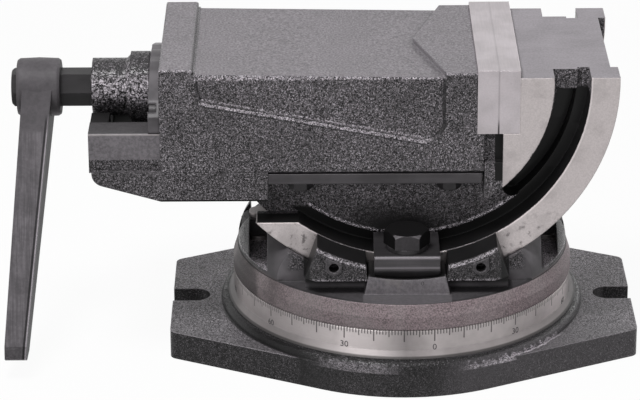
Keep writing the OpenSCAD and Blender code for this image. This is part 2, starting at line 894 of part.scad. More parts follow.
module jaw_solid() {
    profile_yz(jaw_end_x, jaw_front_x) skirts();
    roof();
    land();
    intersection() {
        translate([0, 0, jaw_mid_top - edge]) linear_extrude(pad_top - jaw_mid_top + edge)
            polygon([[jaw_front_x, -jaw_half], [pad_side_x, -jaw_half], [pad_point_x, 0],
                [pad_side_x, jaw_half], [jaw_front_x, jaw_half]]);
        profile_yz(0, jaw_front_x) shoulders(pad_top);
    }
    both_sides() translate([jaw_front_x - edge, -jaw_half, skirt_low])
        cube([jaw_toe + edge, skirt_t, way_z - slide - skirt_low]);
    translate([keeper_x, -hollow_half, keeper_top])
        cube([keeper_l, 2 * hollow_half, way_z - keeper_top + over]);
}

module movable_jaw() {
    color(paint) difference() {
        jaw_solid();
        both_sides() side_panel();
        profile_yz(jaw_end_x - over, hollow_end_x) intersection() {
            translate([-hollow_half, way_z - over]) square([2 * hollow_half, hollow_top]);
            translate([0, hollow_top - hollow_arc_r]) circle(r = hollow_arc_r);
        }
        both_sides() {
            translate([jaw_front_x + over, plate_screw_y, plate_screw_z])
                rod_x(plate_screw_r + run, -plate_screw_in - 2 * over, 0);
            translate([0, bracket_screw_y, bracket_screw_z])
                rod_x(bracket_screw_r + run, jaw_end_x - over, jaw_end_x + bracket_screw_l);
            for (x = keeper_screws_x) translate([x, keeper_screw_y, keeper_top - over])
                cylinder(r = keeper_screw_r + run, h = keeper_screw_l);
        }
    }
}

// Hold-down plate: bolted under the jaw, it runs beneath the lips of the ways
module hold_down_plate() {
    color(steel) difference() {
        translate([keeper_x, -keeper_half + slide, keeper_top - keeper_t])
            cube([keeper_l, 2 * (keeper_half - slide), keeper_t]);
        both_sides() for (x = keeper_screws_x)
            translate([x, keeper_screw_y, keeper_top - keeper_t - over]) {
                cylinder(r = keeper_screw_r + run, h = keeper_t + 2 * over);
                cylinder(r = keeper_head_r + run, h = keeper_head_h + over);
            }
    }
}

module hold_down_screws() {
    color(black) both_sides() for (x = keeper_screws_x)
        translate([x, keeper_screw_y, keeper_top - keeper_t + keeper_head_h]) rotate([180, 0, 0])
            socket_screw(keeper_head_r, keeper_head_h, keeper_screw_r, keeper_screw_l - keeper_t);
}

// Screw bracket: an arched end plate with the collar that the screw turns in
module end_plate() {
    polygon([[-way_half, way_z + clear], [way_half, way_z + clear], [way_half, wing_top - wing_bevel],
        [way_half - wing_bevel, wing_top], [thrust_r, screw_z + flange_r],
        [-thrust_r, screw_z + flange_r], [-way_half + wing_bevel, wing_top],
        [-way_half, wing_top - wing_bevel]]);
    translate([0, screw_z]) circle(r = boss_r);
}

module screw_bracket() {
    color(paint) difference() {
        union() {
            profile_yz(plate_out_x, jaw_end_x) end_plate();
            translate([0, 0, screw_z]) {
                rod_x(flange_r - edge, plate_out_x - neck_l, plate_out_x + over);
                rod_x(flange_r, flange_x, plate_out_x - neck_l);
                rod_x(collar_r, -collar_end, plate_out_x - neck_l);
                translate([flange_x, 0, 0]) rotate([0, -90, 0])
                    cylinder(r1 = collar_r + collar_fillet, r2 = collar_r, h = collar_fillet);
            }
        }
        translate([0, 0, screw_z]) rod_x(journal_r + run, -collar_end - over, jaw_end_x + over);
        both_sides() translate([0, bracket_screw_y, bracket_screw_z]) {
            rod_x(bracket_screw_r + run, plate_out_x - over, jaw_end_x + over);
            rod_x(bracket_head_r + run, plate_out_x - over, plate_out_x + bracket_head_h);
        }
    }
}

module bracket_screws() {
    color(black) both_sides()
        translate([plate_out_x + bracket_head_h, bracket_screw_y, bracket_screw_z]) rotate([0, -90, 0])
            socket_screw(bracket_head_r, bracket_head_h - edge, bracket_screw_r,
                bracket_screw_l - bracket_head_h);
}

// Vise screw: a threaded rod with a smooth neck and a hexagonal end
module vise_screw() {
    color(black) translate([0, 0, screw_z]) {
        translate([hex_x, 0, 0]) rotate([0, 90, 0]) rotate([0, 0, arm_turn]) intersection() {
            linear_extrude(hex_l) hexagon(hex_af);
            cylinder(r1 = hex_af / 2, r2 = hex_af / 2 + hex_l, h = hex_l);
        }
        rod_x(journal_r, hex_x + hex_l - edge, jaw_end_x);
        rod_x(screw_r, jaw_end_x - edge, screw_tip_x);
    }
}

module thrust_collar() {
    color(steel) translate([0, 0, screw_z]) difference() {
        rod_x(thrust_r, jaw_end_x + slide, jaw_end_x + slide + thrust_t);
        rod_x(screw_r + run, jaw_end_x - over, jaw_end_x + thrust_t + over);
    }
}

// Crank: a hub on the hexagon with a tapered arm that leans away from the vise
module arm() {
    intersection() {
        profile_xz(-arm_root_w / 2, arm_root_w / 2)
            polygon([[hub_l / 2 - arm_root_t / 2, 0], [hub_l / 2 + arm_root_t / 2, 0],
                [arm_tip_x + arm_t / 2, -arm_l], [arm_tip_x - arm_t / 2, -arm_l]]);
        profile_yz(arm_tip_x - arm_root_t, hub_l)
            polygon([[-arm_root_w / 2, 0], [-arm_w / 2, -arm_l + arm_bevel],
                [-arm_w / 2 + arm_bevel, -arm_l], [arm_w / 2 - arm_bevel, -arm_l],
                [arm_w / 2, -arm_l + arm_bevel], [arm_root_w / 2, 0]]);
    }
}

module crank_handle() {
    color(black) translate([hub_x, 0, screw_z]) difference() {
        union() {
            rotate([0, 90, 0]) rotate_extrude()
                polygon([[0, 0], [hub_r - hub_edge, 0], [hub_r - hub_crown, hub_edge], [hub_r, hub_l / 2],
                    [hub_r - hub_crown, hub_l - hub_edge], [hub_r - hub_edge, hub_l], [0, hub_l]]);
            rotate([-arm_turn, 0, 0]) arm();
        }
        translate([-over, 0, 0]) rotate([0, 90, 0]) rotate([0, 0, arm_turn])
            linear_extrude(hub_l + 2 * over) hexagon(hex_af + 2 * run);
    }
}

base_plate();
swivel_table();
swivel_tee_bolts();
swivel_washers();
swivel_nuts();
lock_screws();
clamp_block_front();
clamp_block_rear();
clamp_bolt_front();
clamp_bolt_rear();
clamp_washers();
vise_body();
fixed_plate();
fixed_plate_screws();
side_rails();
rail_bolts();
screw_nut();
nut_bolts();
movable_jaw();
movable_plate();
movable_plate_screws();
hold_down_plate();
hold_down_screws();
screw_bracket();
bracket_screws();
vise_screw();
thrust_collar();
crank_handle();
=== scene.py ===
import json
import math

import bmesh
import bpy
import numpy as np
from mathutils import Matrix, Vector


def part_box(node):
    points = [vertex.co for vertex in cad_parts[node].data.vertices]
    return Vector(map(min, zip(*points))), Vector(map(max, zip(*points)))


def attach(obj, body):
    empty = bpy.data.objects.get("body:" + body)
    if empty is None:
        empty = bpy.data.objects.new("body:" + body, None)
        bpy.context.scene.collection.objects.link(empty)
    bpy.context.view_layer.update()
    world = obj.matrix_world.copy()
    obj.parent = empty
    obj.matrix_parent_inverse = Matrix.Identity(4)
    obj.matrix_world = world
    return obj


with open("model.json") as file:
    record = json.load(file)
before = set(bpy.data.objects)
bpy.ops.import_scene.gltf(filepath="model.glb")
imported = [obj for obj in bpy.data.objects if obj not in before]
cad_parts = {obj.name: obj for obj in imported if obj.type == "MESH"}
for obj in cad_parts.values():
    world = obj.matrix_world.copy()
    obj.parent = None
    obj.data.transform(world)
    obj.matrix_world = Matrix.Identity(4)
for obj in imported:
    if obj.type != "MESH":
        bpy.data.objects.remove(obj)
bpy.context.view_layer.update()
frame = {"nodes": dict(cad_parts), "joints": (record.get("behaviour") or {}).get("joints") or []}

MM = 0.001

# Sizes that the looks follow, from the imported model
TABLE_LOW, TABLE_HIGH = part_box("swivel_table")
DIAL_R = TABLE_HIGH.x
SEAM_Z = TABLE_LOW.z
BODY_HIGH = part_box("vise_body")[1]
HALF_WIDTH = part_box("movable_jaw")[1].y
PLATE_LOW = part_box("fixed_plate")[0]
WAY_Z = PLATE_LOW.z
TILT = next(j for j in frame["joints"] if j["name"] == "tilt")["pos_m"]

# Radii about the tilt axis
CHEEK_R = 86.5 * MM
SLOT_R = 89.5 * MM
WEB_R = 101 * MM
FLANGE_IN_R = 108 * MM
ROCKER_R = BODY_HIGH.x - TILT[0]


# Shader maths
def srgb(red, green, blue):
    """A colour written as 0 to 255, as the linear colour that the nodes take."""
    def linear(c):
        c = c / 255
        return c / 12.92 if c <= 0.04045 else ((c + 0.055) / 1.055) ** 2.4
    return (linear(red), linear(green), linear(blue), 1.0)


def painted(level):
    """A grey of that level, 0 to 255, faintly violet."""
    return srgb(level * 1.01, level * 0.975, level * 1.01)


def bare(level):
    """The grey of bare metal at that level, 0 to 255, faintly warm."""
    return srgb(level * 1.02, level * 0.98, level * 0.98)


class Value:
    """A number that changes over a surface. Arithmetic on it adds Math nodes to its finish."""

    def __init__(self, finish, socket):
        self.finish = finish
        self.socket = socket

    def math(self, operation, *operands):
        return self.finish.node("ShaderNodeMath", operands, operation=operation)

    def __add__(self, other):
        return self.math("ADD", self, other)

    def __radd__(self, other):
        return self.math("ADD", other, self)

    def __sub__(self, other):
        return self.math("SUBTRACT", self, other)

    def __rsub__(self, other):
        return self.math("SUBTRACT", other, self)

    def __mul__(self, other):
        return self.math("MULTIPLY", self, other)

    def __rmul__(self, other):
        return self.math("MULTIPLY", other, self)

    def __truediv__(self, other):
        return self.math("DIVIDE", self, other)

    def __rtruediv__(self, other):
        return self.math("DIVIDE", other, self)

    def __pow__(self, other):
        return self.math("POWER", self, other)

    def __neg__(self):
        return self.math("MULTIPLY", self, -1.0)

    def __abs__(self):
        return self.math("ABSOLUTE", self)

    def sqrt(self):
        return self.math("SQRT", self)

    def fraction(self):
        return self.math("FRACT", self)

    def least(self, other):
        return self.math("MINIMUM", self, other)

    def most(self, other):
        return self.math("MAXIMUM", self, other)

    def rise(self, low, high):
        """0 below low, 1 above high and a smooth step between them; falls instead where low > high."""
        if low > high:
            return 1 - self.rise(high, low)
        return self.finish.node("ShaderNodeMapRange", {"Value": self, "From Min": low, "From Max": high},
                                interpolation_type="SMOOTHSTEP")

    def past(self, edge, soft=0.1 * MM):
        """0 short of the edge and 1 beyond it, with a smooth step that is twice soft wide."""
        return self.rise(edge - soft, edge + soft)

    def before(self, edge, soft=0.1 * MM):
        """1 short of the edge and 0 beyond it, with a smooth step that is twice soft wide."""
        return self.rise(edge + soft, edge - soft)

    def within(self, low, high, soft=0.1 * MM):
        """1 between low and high, 0 outside them."""
        return self.past(low, soft) * self.before(high, soft)


class Finish:
    """One material: a Principled shader, and the nodes that vary its colour, roughness and bumps.

    wide is how far a place lies from the middle across the jaws, aside how far from the tilt axis
    along the screw, from_tilt and from_axis how far from the tilt axis and the swivel axis.
    """

    def __init__(self, name, **constants):
        self.material = bpy.data.materials.new(name)
        self.material.use_nodes = True
        self.nodes = self.material.node_tree.nodes
        self.links = self.material.node_tree.links
        self.shader = self.nodes["Principled BSDF"]
        coordinates = self.nodes.new("ShaderNodeTexCoord")
        self.place = coordinates.outputs["Object"]
        self.x, self.y, self.z = self.parts(self.place)
        self.facing_right, _, self.facing_up = self.parts(coordinates.outputs["Normal"])
        self.wide = abs(self.y)
        self.aside = abs(self.x - TILT[0])
        self.from_tilt = ((self.x - TILT[0]) ** 2 + (self.z - TILT[2]) ** 2).sqrt()
        self.from_axis = (self.x ** 2 + self.y ** 2).sqrt()
        for socket, constant in constants.items():
            self.shader.inputs[socket.replace("_", " ")].default_value = constant

    def parts(self, vector):
        """The three numbers of a vector."""
        split = self.nodes.new("ShaderNodeSeparateXYZ")
        self.links.new(vector, split.inputs[0])
        return [Value(self, socket) for socket in split.outputs]

    def node(self, kind, inputs=(), output=0, stops=(), **settings):
        """Adds a node: its settings and a ramp's stops first, then the values or links of its sockets."""
        made = self.nodes.new(kind)
        for name, setting in settings.items():
            setattr(made, name, setting)
        for number, (position, colour) in enumerate(stops):
            ramp = made.color_ramp.elements
            stop = ramp[number] if number < len(ramp) else ramp.new(position)
            stop.position, stop.color = position, colour
        pairs = inputs.items() if isinstance(inputs, dict) else enumerate(inputs)
        for key, given in pairs:
            self.feed(made.inputs[key], given)
        return Value(self, made.outputs[output])

    def feed(self, socket, given):
        """Links a Value or socket, or sets a plain number, vector or colour."""
        if isinstance(given, Value):
            self.links.new(given.socket, socket)
        elif isinstance(given, bpy.types.NodeSocket):
            self.links.new(given, socket)
        else:
            socket.default_value = given

    def mix(self, share, first, second):
        """The first colour where share is 0, the second where it is 1."""
        return self.node("ShaderNodeMix", {0: share, 6: first, 7: second}, output=2, data_type="RGBA")

    def stretched(self, sx, sy, sz):
        """Object coordinates, scaled along each axis."""
        return self.node("ShaderNodeMapping", {"Vector": self.place, "Scale": (sx, sy, sz)})

    def noise(self, scale, detail=2.0, rough=0.5, at=None):
        """Cloudy noise around 0.5, with about one blotch in each 1/scale metres."""
        inputs = {"Vector": at or self.place, "Scale": scale, "Detail": detail, "Roughness": rough}
        return self.node("ShaderNodeTexNoise", inputs)

    def ragged(self, size, scale, detail=2.0, rough=0.5):
        """An offset of up to half that size either way, which makes a border uneven."""
        return (self.noise(scale, detail, rough) - 0.5) * size

    def rounded(self, radius):
        """The surface's normal, blended over its edges within that radius."""
        return self.node("ShaderNodeBevel", {"Radius": radius}, samples=4)

    def edges(self, radius):
        """Near 0 on flat ground and towards 1 along edges, within that radius."""
        flat = self.node("ShaderNodeNewGeometry", output="True Normal")
        turned = self.node("ShaderNodeVectorMath", [self.rounded(radius), flat], output="Value",
                           operation="DOT_PRODUCT")
        return (1 - turned).rise(0.0, 0.25)

    def bumps(self, height, depth, normal=None):
        """A normal raised by height times depth, in metres."""
        inputs = {"Height": height, "Distance": depth, "Strength": 1.0}
        if normal is not None:
            inputs["Normal"] = normal
        return self.node("ShaderNodeBump", inputs)

    def surface(self, **sockets):
        """Feeds the shader's own sockets and gives the material."""
        for name, given in sockets.items():
            self.feed(self.shader.inputs[name.replace("_", " ")], given)
        return self.material


class Coat:
    """What a finish is made of at each place: colour, roughness, metal share and height of its bumps."""

    def __init__(self, finish, colour, rough, metal, height):
        self.finish, self.colour, self.rough, self.metal, self.height = finish, colour, rough, metal, height

    def under(self, mask, other):
        """This coat where mask is 0 and the other one where it is 1."""
        f = self.finish
        return Coat(f, f.mix(mask, self.colour, other.colour), blend(mask, self.rough, other.rough),
                    blend(mask, self.metal, other.metal), blend(mask, self.height, other.height))

    def material(self, depth=0.16 * MM, radius=1.2 * MM):
        f = self.finish
        return f.surface(Base_Color=self.colour, Roughness=self.rough, Metallic=self.metal,
                         Normal=f.bumps(self.height, depth, f.rounded(radius)))


def blend(share, first, second):
    """The first number where share is 0, the second where it is 1."""
    return first + share * (second - first)


# Paint and metal
def hammertone(f, dark=8, mid=92, light=164, size=1.6 * MM, painted_highlight=0.0, shine=0.0):
    """Hammered enamel: dark hollows between raised islands of varied tone, which take a painted highlight
    where asked.
    """
    winding = abs(f.noise(0.9 / size, 2.0, 0.6) - 0.5)
    islands = winding.rise(0.012, 0.075)
    specks = f.noise(2.6 / size, 1.0).rise(0.5, 0.66)
    cloud = f.noise(26.0, 2.0).rise(0.35, 0.68)
    tone = f.mix(specks, painted(mid), painted(light))
    tone = f.mix(cloud * 0.35, tone, painted(mid * 0.72))
    # painted highlight: pale, shiny specks on the islands where light would catch an edge
    tone = f.mix(painted_highlight, tone, f.mix(specks, painted(170), painted(250)))
    colour = f.mix(islands, painted(dark), tone)
    return Coat(f, colour, blend(islands, 0.5, 0.25), painted_highlight * shine, islands * 0.8 + specks * 0.4)


def ground(f, level=186, along=(1, 1, 1), stain=0.5):
    """Ground metal: fine parallel scratches, cloudy tarnish and a few dark specks."""
    scratches = f.noise(1400.0, 3.0, 0.6, f.stretched(*along))
    clouds = f.noise(42.0, 4.0, 0.62)
    specks = f.noise(420.0, 2.0, 0.6).rise(0.66, 0.74) * clouds.rise(0.45, 0.66)
    tone = f.mix(scratches.rise(0.3, 0.7) * 0.6, bare(level * 0.92), bare(level * 1.04))
    tone = f.mix(clouds.rise(0.48, 0.7) * (stain * 0.6), tone, bare(level * 0.78))
    colour = f.mix(specks * stain, tone, bare(70))
    return Coat(f, colour, blend(clouds, 0.3, 0.48), 1.0, scratches * 0.25)


def satin(f, low, high, grain=1500.0, cloudy=0.35):
    """A plain, fine-grained surface between two tones."""
    fine = f.noise(grain, 3.0, 0.7)
    cloud = f.noise(32.0, 3.0)
    share = blend(cloudy, fine.rise(0.35, 0.65), cloud.rise(0.3, 0.7))
    colour = f.mix(share, painted(low), painted(high))
    return Coat(f, colour, blend(cloud, 0.4, 0.5), 0.0, fine * 0.22)


def smooth(f, level, gloss=0.3):
    """Smooth dark paint, a little uneven in tone."""
    cloud = f.noise(60.0, 3.0)
    colour = f.mix(cloud.rise(0.3, 0.7), painted(level * 0.85), painted(level * 1.15))
    return Coat(f, colour, gloss, 0.0, cloud * 0.3)


def paint_finish(name):
    """A painted casting's material, with a weak mirror."""
    return Finish(name, IOR=1.45, Specular_IOR_Level=0.25)


# The body. Places are along the screw (X), off the middle across the jaws (WIDE) or in height (Z)
ROCKER_X = -55 * MM
ROCKER_Z = 95 * MM
WEB_WIDE = (46 * MM, 47.6 * MM)
LINE_TOP_Z = 99 * MM
CLAMP_HALF = 12 * MM
SHADE_HALF = 26 * MM
SHADE_Z = 94 * MM
BLOCK_X = -77 * MM
FIXED_JAW_X = 57.9 * MM
GAP_X = (53.2 * MM, FIXED_JAW_X)
GAP_Z = (118 * MM, 148 * MM)
SHADOW_X = (47.5 * MM, FIXED_JAW_X)
SHADOW_Z = (144 * MM, 149 * MM)
FLANGE_END_X = -31 * MM
FLANGE_END_Z = (84 * MM, 107 * MM)
SLOT_X = 51 * MM
SLOT_WIDE = (32.5 * MM, 46.75 * MM)
GROOVE_WIDE = 62.1 * MM
GROOVE_END_Z = 171.5 * MM
TROUGH_WIDE = 57.2 * MM
TROUGH_LOW_Z = 120 * MM
BAND_X = -140.5 * MM
BAND_WIDE = (57.5 * MM, 61 * MM)
BAND_Z = 131.5 * MM
WAY_END_X = 49.5 * MM
STAIN_Z = 95 * MM


def rocker_part(f):
    """1 on the rocker and the fixed jaw, 0 on the handle's end of the body."""
    return f.x.past(ROCKER_X, 5 * MM).most(f.z.before(ROCKER_Z, 1 * MM))


def body_paint(f, ragged):
    """Hammertone, with a painted highlight along the web's lower edge and painted shade above the clamp."""
    web = f.wide.within(*WEB_WIDE)
    # painted highlight: a bright broken line along the web's lower edge
    line = web * (f.from_tilt + ragged * 0.5).within(WEB_R - 2.0 * MM, WEB_R + 0.3 * MM, 0.5 * MM)
    right = f.x.past(25 * MM, 5 * MM) * f.z.before(116 * MM, 24 * MM)
    line = line * f.z.before(LINE_TOP_Z, 2 * MM).most(right) * f.aside.past(CLAMP_HALF, 1 * MM)
    # painted shade on the web above the clamp
    shade = web * f.z.before(SHADE_Z, 10 * MM) * (f.x + 4 * MM).within(-SHADE_HALF, SHADE_HALF, 18 * MM)
    block = f.x.before(BLOCK_X, 1 * MM)
    paint = hammertone(f, painted_highlight=line, shine=0.9).under(block, hammertone(f, 8, 84, 146))
    return paint.under(shade * (1 - line), smooth(f, 34, 0.5))


def body_gap_shade(f):
    """Painted shade, near black: the gap under the jaw plates and beside it, and the flanges' far ends."""
    gap = f.x.within(*GAP_X, 0.3 * MM) * f.z.within(*GAP_Z, 0.8 * MM)
    shadow = f.x.within(*SHADOW_X, 0.3 * MM) * f.z.within(*SHADOW_Z, 0.8 * MM)
    gap = gap.most(shadow * 0.7) * f.wide.past(WEB_WIDE[0] - 0.5 * MM, 0.5 * MM)
    ends = f.x.before(FLANGE_END_X, 3 * MM) * f.z.within(*FLANGE_END_Z)
    ends = ends * f.wide.past(WEB_WIDE[1] + 0.4 * MM, 0.4 * MM)
    return gap.most(ends)


def body_groove_shade(f, ragged):
    """The grooves for the clamp blocks and the deep slots behind them, where dark paint stands for shade.
    """
    slot = f.wide.before(SLOT_WIDE[1], 0.15 * MM) * f.from_tilt.within(SLOT_R - 0.2 * MM, WEB_R + 0.2 * MM)
    slot = slot * f.x.past(SLOT_X, 1 * MM) * f.wide.past(SLOT_WIDE[0], 0.3 * MM)
    groove = f.from_tilt.within(WEB_R + 0.05 * MM, FLANGE_IN_R + 0.5 * MM)
    groove = groove * f.wide.before(GROOVE_WIDE, 0.2 * MM)
    groove = groove * (1 - f.wide.within(*WEB_WIDE) * f.from_tilt.before(WEB_R + 0.4 * MM))
    groove = groove * (f.z + ragged).before(GROOVE_END_Z, 1 * MM)
    return slot.most(groove * rocker_part(f))


def body_ways(f, coat):
    """Adds painted shade in the trough and on the ways, and the handle end's machined band with a painted
    highlight.
    """
    # painted shade in the trough
    trough = f.wide.before(TROUGH_WIDE, 0.2 * MM) * f.z.within(TROUGH_LOW_Z, WAY_Z - 0.5 * MM)
    band = f.wide.within(*BAND_WIDE) * f.z.past(BAND_Z, 0.2 * MM) * f.x.before(BAND_X, 0.5 * MM)
    machined = satin(f, 84, 116, 500.0)
    # painted highlight along the band's top edge
    wear_and_highlight = f.z.within(WAY_Z - 1.6 * MM, WAY_Z - 0.4 * MM)
    machined.colour = f.mix(wear_and_highlight * 0.5, machined.colour, bare(150))
    # painted shade on the ways' tops
    way = f.z.past(WAY_Z - 0.4 * MM) * f.x.before(WAY_END_X, 0.5 * MM)
    return coat.under(trough, smooth(f, 22, 0.4)).under(band, machined).under(way, satin(f, 46, 66, 700.0))


def body_steel(f):
    """Ground steel with faint clouds, stained and patchy lower down, with a painted highlight along the
    flange's inner edge.
    """
    lower = f.z.before(STAIN_Z, 17 * MM)
    patches = f.noise(190.0, 4.0, 0.7).rise(0.54, 0.68) * lower.rise(0.1, 1.0)
    clouds = f.noise(75.0, 3.0).rise(0.48, 0.72)
    # painted highlight: a bright line along the flange's inner edge
    lip_highlight = f.from_tilt.within(FLANGE_IN_R, FLANGE_IN_R + 1.0 * MM, 0.2 * MM)
    steel = ground(f, 188, stain=0.3).under(lower * 0.8, ground(f, 190, stain=1.0))
    steel.colour = f.mix(patches * 0.8, steel.colour, bare(78))
    steel.colour = f.mix(clouds * 0.45, steel.colour, bare(146))
    steel.colour = f.mix(lip_highlight * 0.5, steel.colour, bare(222))
    return steel


def body_finish():
    """The body: painted, with machined ways, cheeks, top and flanges."""
    f = paint_finish("body_casting")
    ragged = f.ragged(3 * MM, 300.0)
    # painted shade: near black in the gaps and on the flanges' far ends
    coat = body_paint(f, ragged).under(body_gap_shade(f), smooth(f, 10, 0.6))
    # painted shade: dark in the grooves, the slots, the trough and on the ways' tops
    coat = body_ways(f, coat.under(body_groove_shade(f, ragged), smooth(f, 16, 0.3)))

    face = f.wide.past(HALF_WIDTH - 0.2 * MM)
    cheek = face * (f.from_tilt + ragged * 0.6).before(CHEEK_R - 0.05 * MM, 0.45 * MM)
    cheek = cheek * f.x.past(FIXED_JAW_X, 0.3 * MM)
    flange = face * (f.from_tilt + ragged * 0.3).past(FLANGE_IN_R + 0.05 * MM, 0.25 * MM) * rocker_part(f)
    rim = f.from_tilt.past(ROCKER_R - 0.45 * MM, 0.15 * MM) * rocker_part(f)
    coat = coat.under(cheek.most(flange).most(rim), body_steel(f))

    top = f.z.past(BODY_HIGH.z - 0.3 * MM) * f.facing_up.rise(0.8, 0.9)
    milled = satin(f, 110, 138, 700.0, 0.5)
    streaks = f.noise(90.0, 3.0, 0.6, f.stretched(0.25, 2, 1)).rise(0.45, 0.7)
    milled.colour = f.mix(streaks * 0.22, milled.colour, painted(146))
    return coat.under(top, milled).material()


# The movable jaw: the panel on its side, the step on its top, and the heights of its edges
PANEL_X = (-124 * MM, 23.5 * MM)
PANEL_CORNER = (8.1 * MM, 144.0 * MM)
PANEL_FALL = math.tan(math.radians(10.56))
PANEL_END_Z = (167 * MM, 181 * MM)
HIGHLIGHT_LINES = ((-1.1 * MM, 0.4 * MM), (1.4 * MM, 2.3 * MM))
SHADE_LINES = ((-2.1 * MM, -1.5 * MM), (0.7 * MM, 1.1 * MM))
ROUND_X = 10.5 * MM
ROUND_Z = 156.8 * MM
ROUND_R = (11.6 * MM, 14.2 * MM)
ROUND_BRIGHT_R = (12.2 * MM, 14.0 * MM)
ROUND_BRIGHT_Z = 148 * MM
WALL_Z = (157 * MM, 183 * MM)
CORNER_Z = 180.75 * MM
STEP_PLACE = (6.7 * MM, 2.4 * MM)
STEP_FACING = (0.96, -0.28)
STEP_HALF = 58 * MM
JAW_SIDE = 59.6 * MM
JAW_EDGE_Z = 181.8 * MM
JAW_TOP_Z = 181.85 * MM
PAD_TOP_Z = 185 * MM
LAND_TOP_Z = 188 * MM


def panel_lines(f, side, ragged):
    """Painted light along the panel's sloping lower edge: bright highlight lines and dark shade lines
    between.
    """
    slope = (f.z - PANEL_CORNER[1]) + (f.x - PANEL_CORNER[0]) * PANEL_FALL + ragged * 0.5
    along = side * f.x.within(PANEL_X[0] + 3 * MM, PANEL_CORNER[0] + 4 * MM, 2 * MM)
    bright = slope.within(*HIGHLIGHT_LINES[0], 0.25 * MM).most(slope.within(*HIGHLIGHT_LINES[1], 0.25 * MM) * 0.8)
    dark = slope.within(*SHADE_LINES[0], 0.25 * MM).most(slope.within(*SHADE_LINES[1], 0.2 * MM))
    return bright * along, dark * along


def panel_wall(f, side):
    """Painted shade on the panel's right end wall and round its lower corner, and a painted highlight round
    it.
    """
    wall = side * f.x.within(PANEL_X[1] - 1.5 * MM, PANEL_X[1] + 0.4 * MM, 0.3 * MM)
    wall = wall * f.z.within(*WALL_Z)
    from_corner = ((f.x - ROUND_X) ** 2 + (f.z - ROUND_Z) ** 2).sqrt()
    turn = side * from_corner.within(*ROUND_R, 0.4 * MM) * f.z.before(WALL_Z[0], 0.4 * MM)
    bright = side * from_corner.within(*ROUND_BRIGHT_R, 0.3 * MM) * f.x.past(ROUND_X - 1.5 * MM, 1.5 * MM)
    return wall.most(turn * f.x.past(ROUND_X + 4 * MM, 4 * MM)), bright * f.z.before(ROUND_BRIGHT_Z, 2 * MM)


def jaw_finish():
    """The movable jaw: painted, with a plainer, fine-grained top, painted highlights on edges and painted
    shade by the panel.
    """
    f = paint_finish("jaw_casting")
    ragged = f.ragged(1.4 * MM, 500.0)
    side = f.wide.past(JAW_SIDE, 0.2 * MM)
    lines, dark_lines = panel_lines(f, side, ragged)
    wall, bright_turn = panel_wall(f, side)

    # Painted highlights on the edges that catch the light, and painted shade in dark lines at the panel's
    # ends
    middle = f.x.within(*PANEL_X, 0.5 * MM)
    top_edge = side * middle * f.z.past(JAW_EDGE_Z, 0.8 * MM) * f.facing_up.rise(0.75, 0.4)
    corner = side * f.edges(0.9 * MM) * f.z.past(CORNER_Z, 0.75 * MM) * (0.55 + middle * 0.45)
    pad_rim = f.x.past(PANEL_X[1] + 0.5 * MM, 0.5 * MM) * f.z.past(PAD_TOP_Z, 0.4 * MM)
    land_rim = f.x.before(PANEL_X[0] - 0.5 * MM, 0.5 * MM) * f.z.past(LAND_TOP_Z, 0.4 * MM)
    painted_highlight = (top_edge.most(corner) * 0.8).most(lines.most(bright_turn) * 0.7)
    painted_highlight = painted_highlight.most(side * pad_rim.most(land_rim) * 0.5)
    end = side * (f.x - ragged).within(PANEL_X[0] + 0.2 * MM, PANEL_X[0] + 2.4 * MM, 0.5 * MM)
    end = end * f.z.within(*PANEL_END_Z)
    coat = hammertone(f, painted_highlight=painted_highlight).under(dark_lines.most(wall).most(end * 0.7) * 0.8, smooth(f, 26, 0.5))

    # The top, and the painted shade and painted highlight at the step across it
    upper = f.z.past(JAW_TOP_Z, 0.35 * MM)
    top = f.facing_up.rise(0.8, 0.97) * upper * (1 - corner * 0.6)
    coat = coat.under(top, satin(f, 76, 128, 800.0, 0.12))
    to_step = (f.x - STEP_PLACE[0]) * STEP_FACING[0] + (f.wide - STEP_PLACE[1]) * STEP_FACING[1]
    step = upper * f.wide.before(STEP_HALF, 1 * MM)
    shade = step * to_step.within(-3.4 * MM, -0.2 * MM, 0.8 * MM)
    face = step * to_step.within(-0.2 * MM, 0.6 * MM) * f.facing_up.rise(0.5, 0.3)
    coat.colour = f.mix(shade * 0.25, coat.colour, painted(50))
    coat.colour = f.mix(face * 0.7, coat.colour, painted(132))
    return coat.material(radius=1.8 * MM)


END_PLATE_X = -153 * MM


def bracket_finish():
    """The screw's bracket: a coarser hammertone on the collar, with a painted highlight and shade, smooth
    on the end plate.
    """
    f = paint_finish("bracket_casting")
    # painted highlight round the collar's middle
    painted_highlight = f.facing_up.rise(-0.3, 0.1) * f.facing_up.rise(0.8, 0.4)
    coarse = hammertone(f, 0, 74, 156, 2.7 * MM, painted_highlight * 0.45)
    # painted shade on the upward faces
    coarse.colour = f.mix(f.facing_up.rise(0.5, 0.95) * 0.5, coarse.colour, painted(40))
    plate = f.x.past(END_PLATE_X, 0.5 * MM)
    return coarse.under(plate, smooth(f, 80, 0.4)).material(0.2 * MM, 1.5 * MM)


# The base: its ring, with painted reflections as tones from the left round the front to the right, and the
# foot round the ring
RING_LOW = SEAM_Z - 17.1 * MM
RING_R = DIAL_R + 3.9 * MM
FLARE_Z = 27.1 * MM
HOLLOW_R = (DIAL_R + 4 * MM, DIAL_R + 9 * MM)
HOLLOW_TURN = (-78, -30)
FOOT_R = DIAL_R + 8.1 * MM
ARC_TURN = (15, 24, 50, 60)
ARC_R = (DIAL_R + 7.6 * MM, DIAL_R + 9.4 * MM)
FRONT_R = (DIAL_R + 7 * MM, DIAL_R + 12 * MM)
FRONT_TURN = (-26, -4)
EDGE_R = DIAL_R + 9.5 * MM
EDGE_Z = (15.2 * MM, 19 * MM)
PLATE_TOP_Z = 15 * MM
# Painted reflections: the ring's tones from the left round the front to the right
RING_REFLECTIONS = (120, 128, 184, 160, 138, 144, 160, 198, 188, 110,
              188, 177, 183, 172, 200, 250, 250, 150, 120)
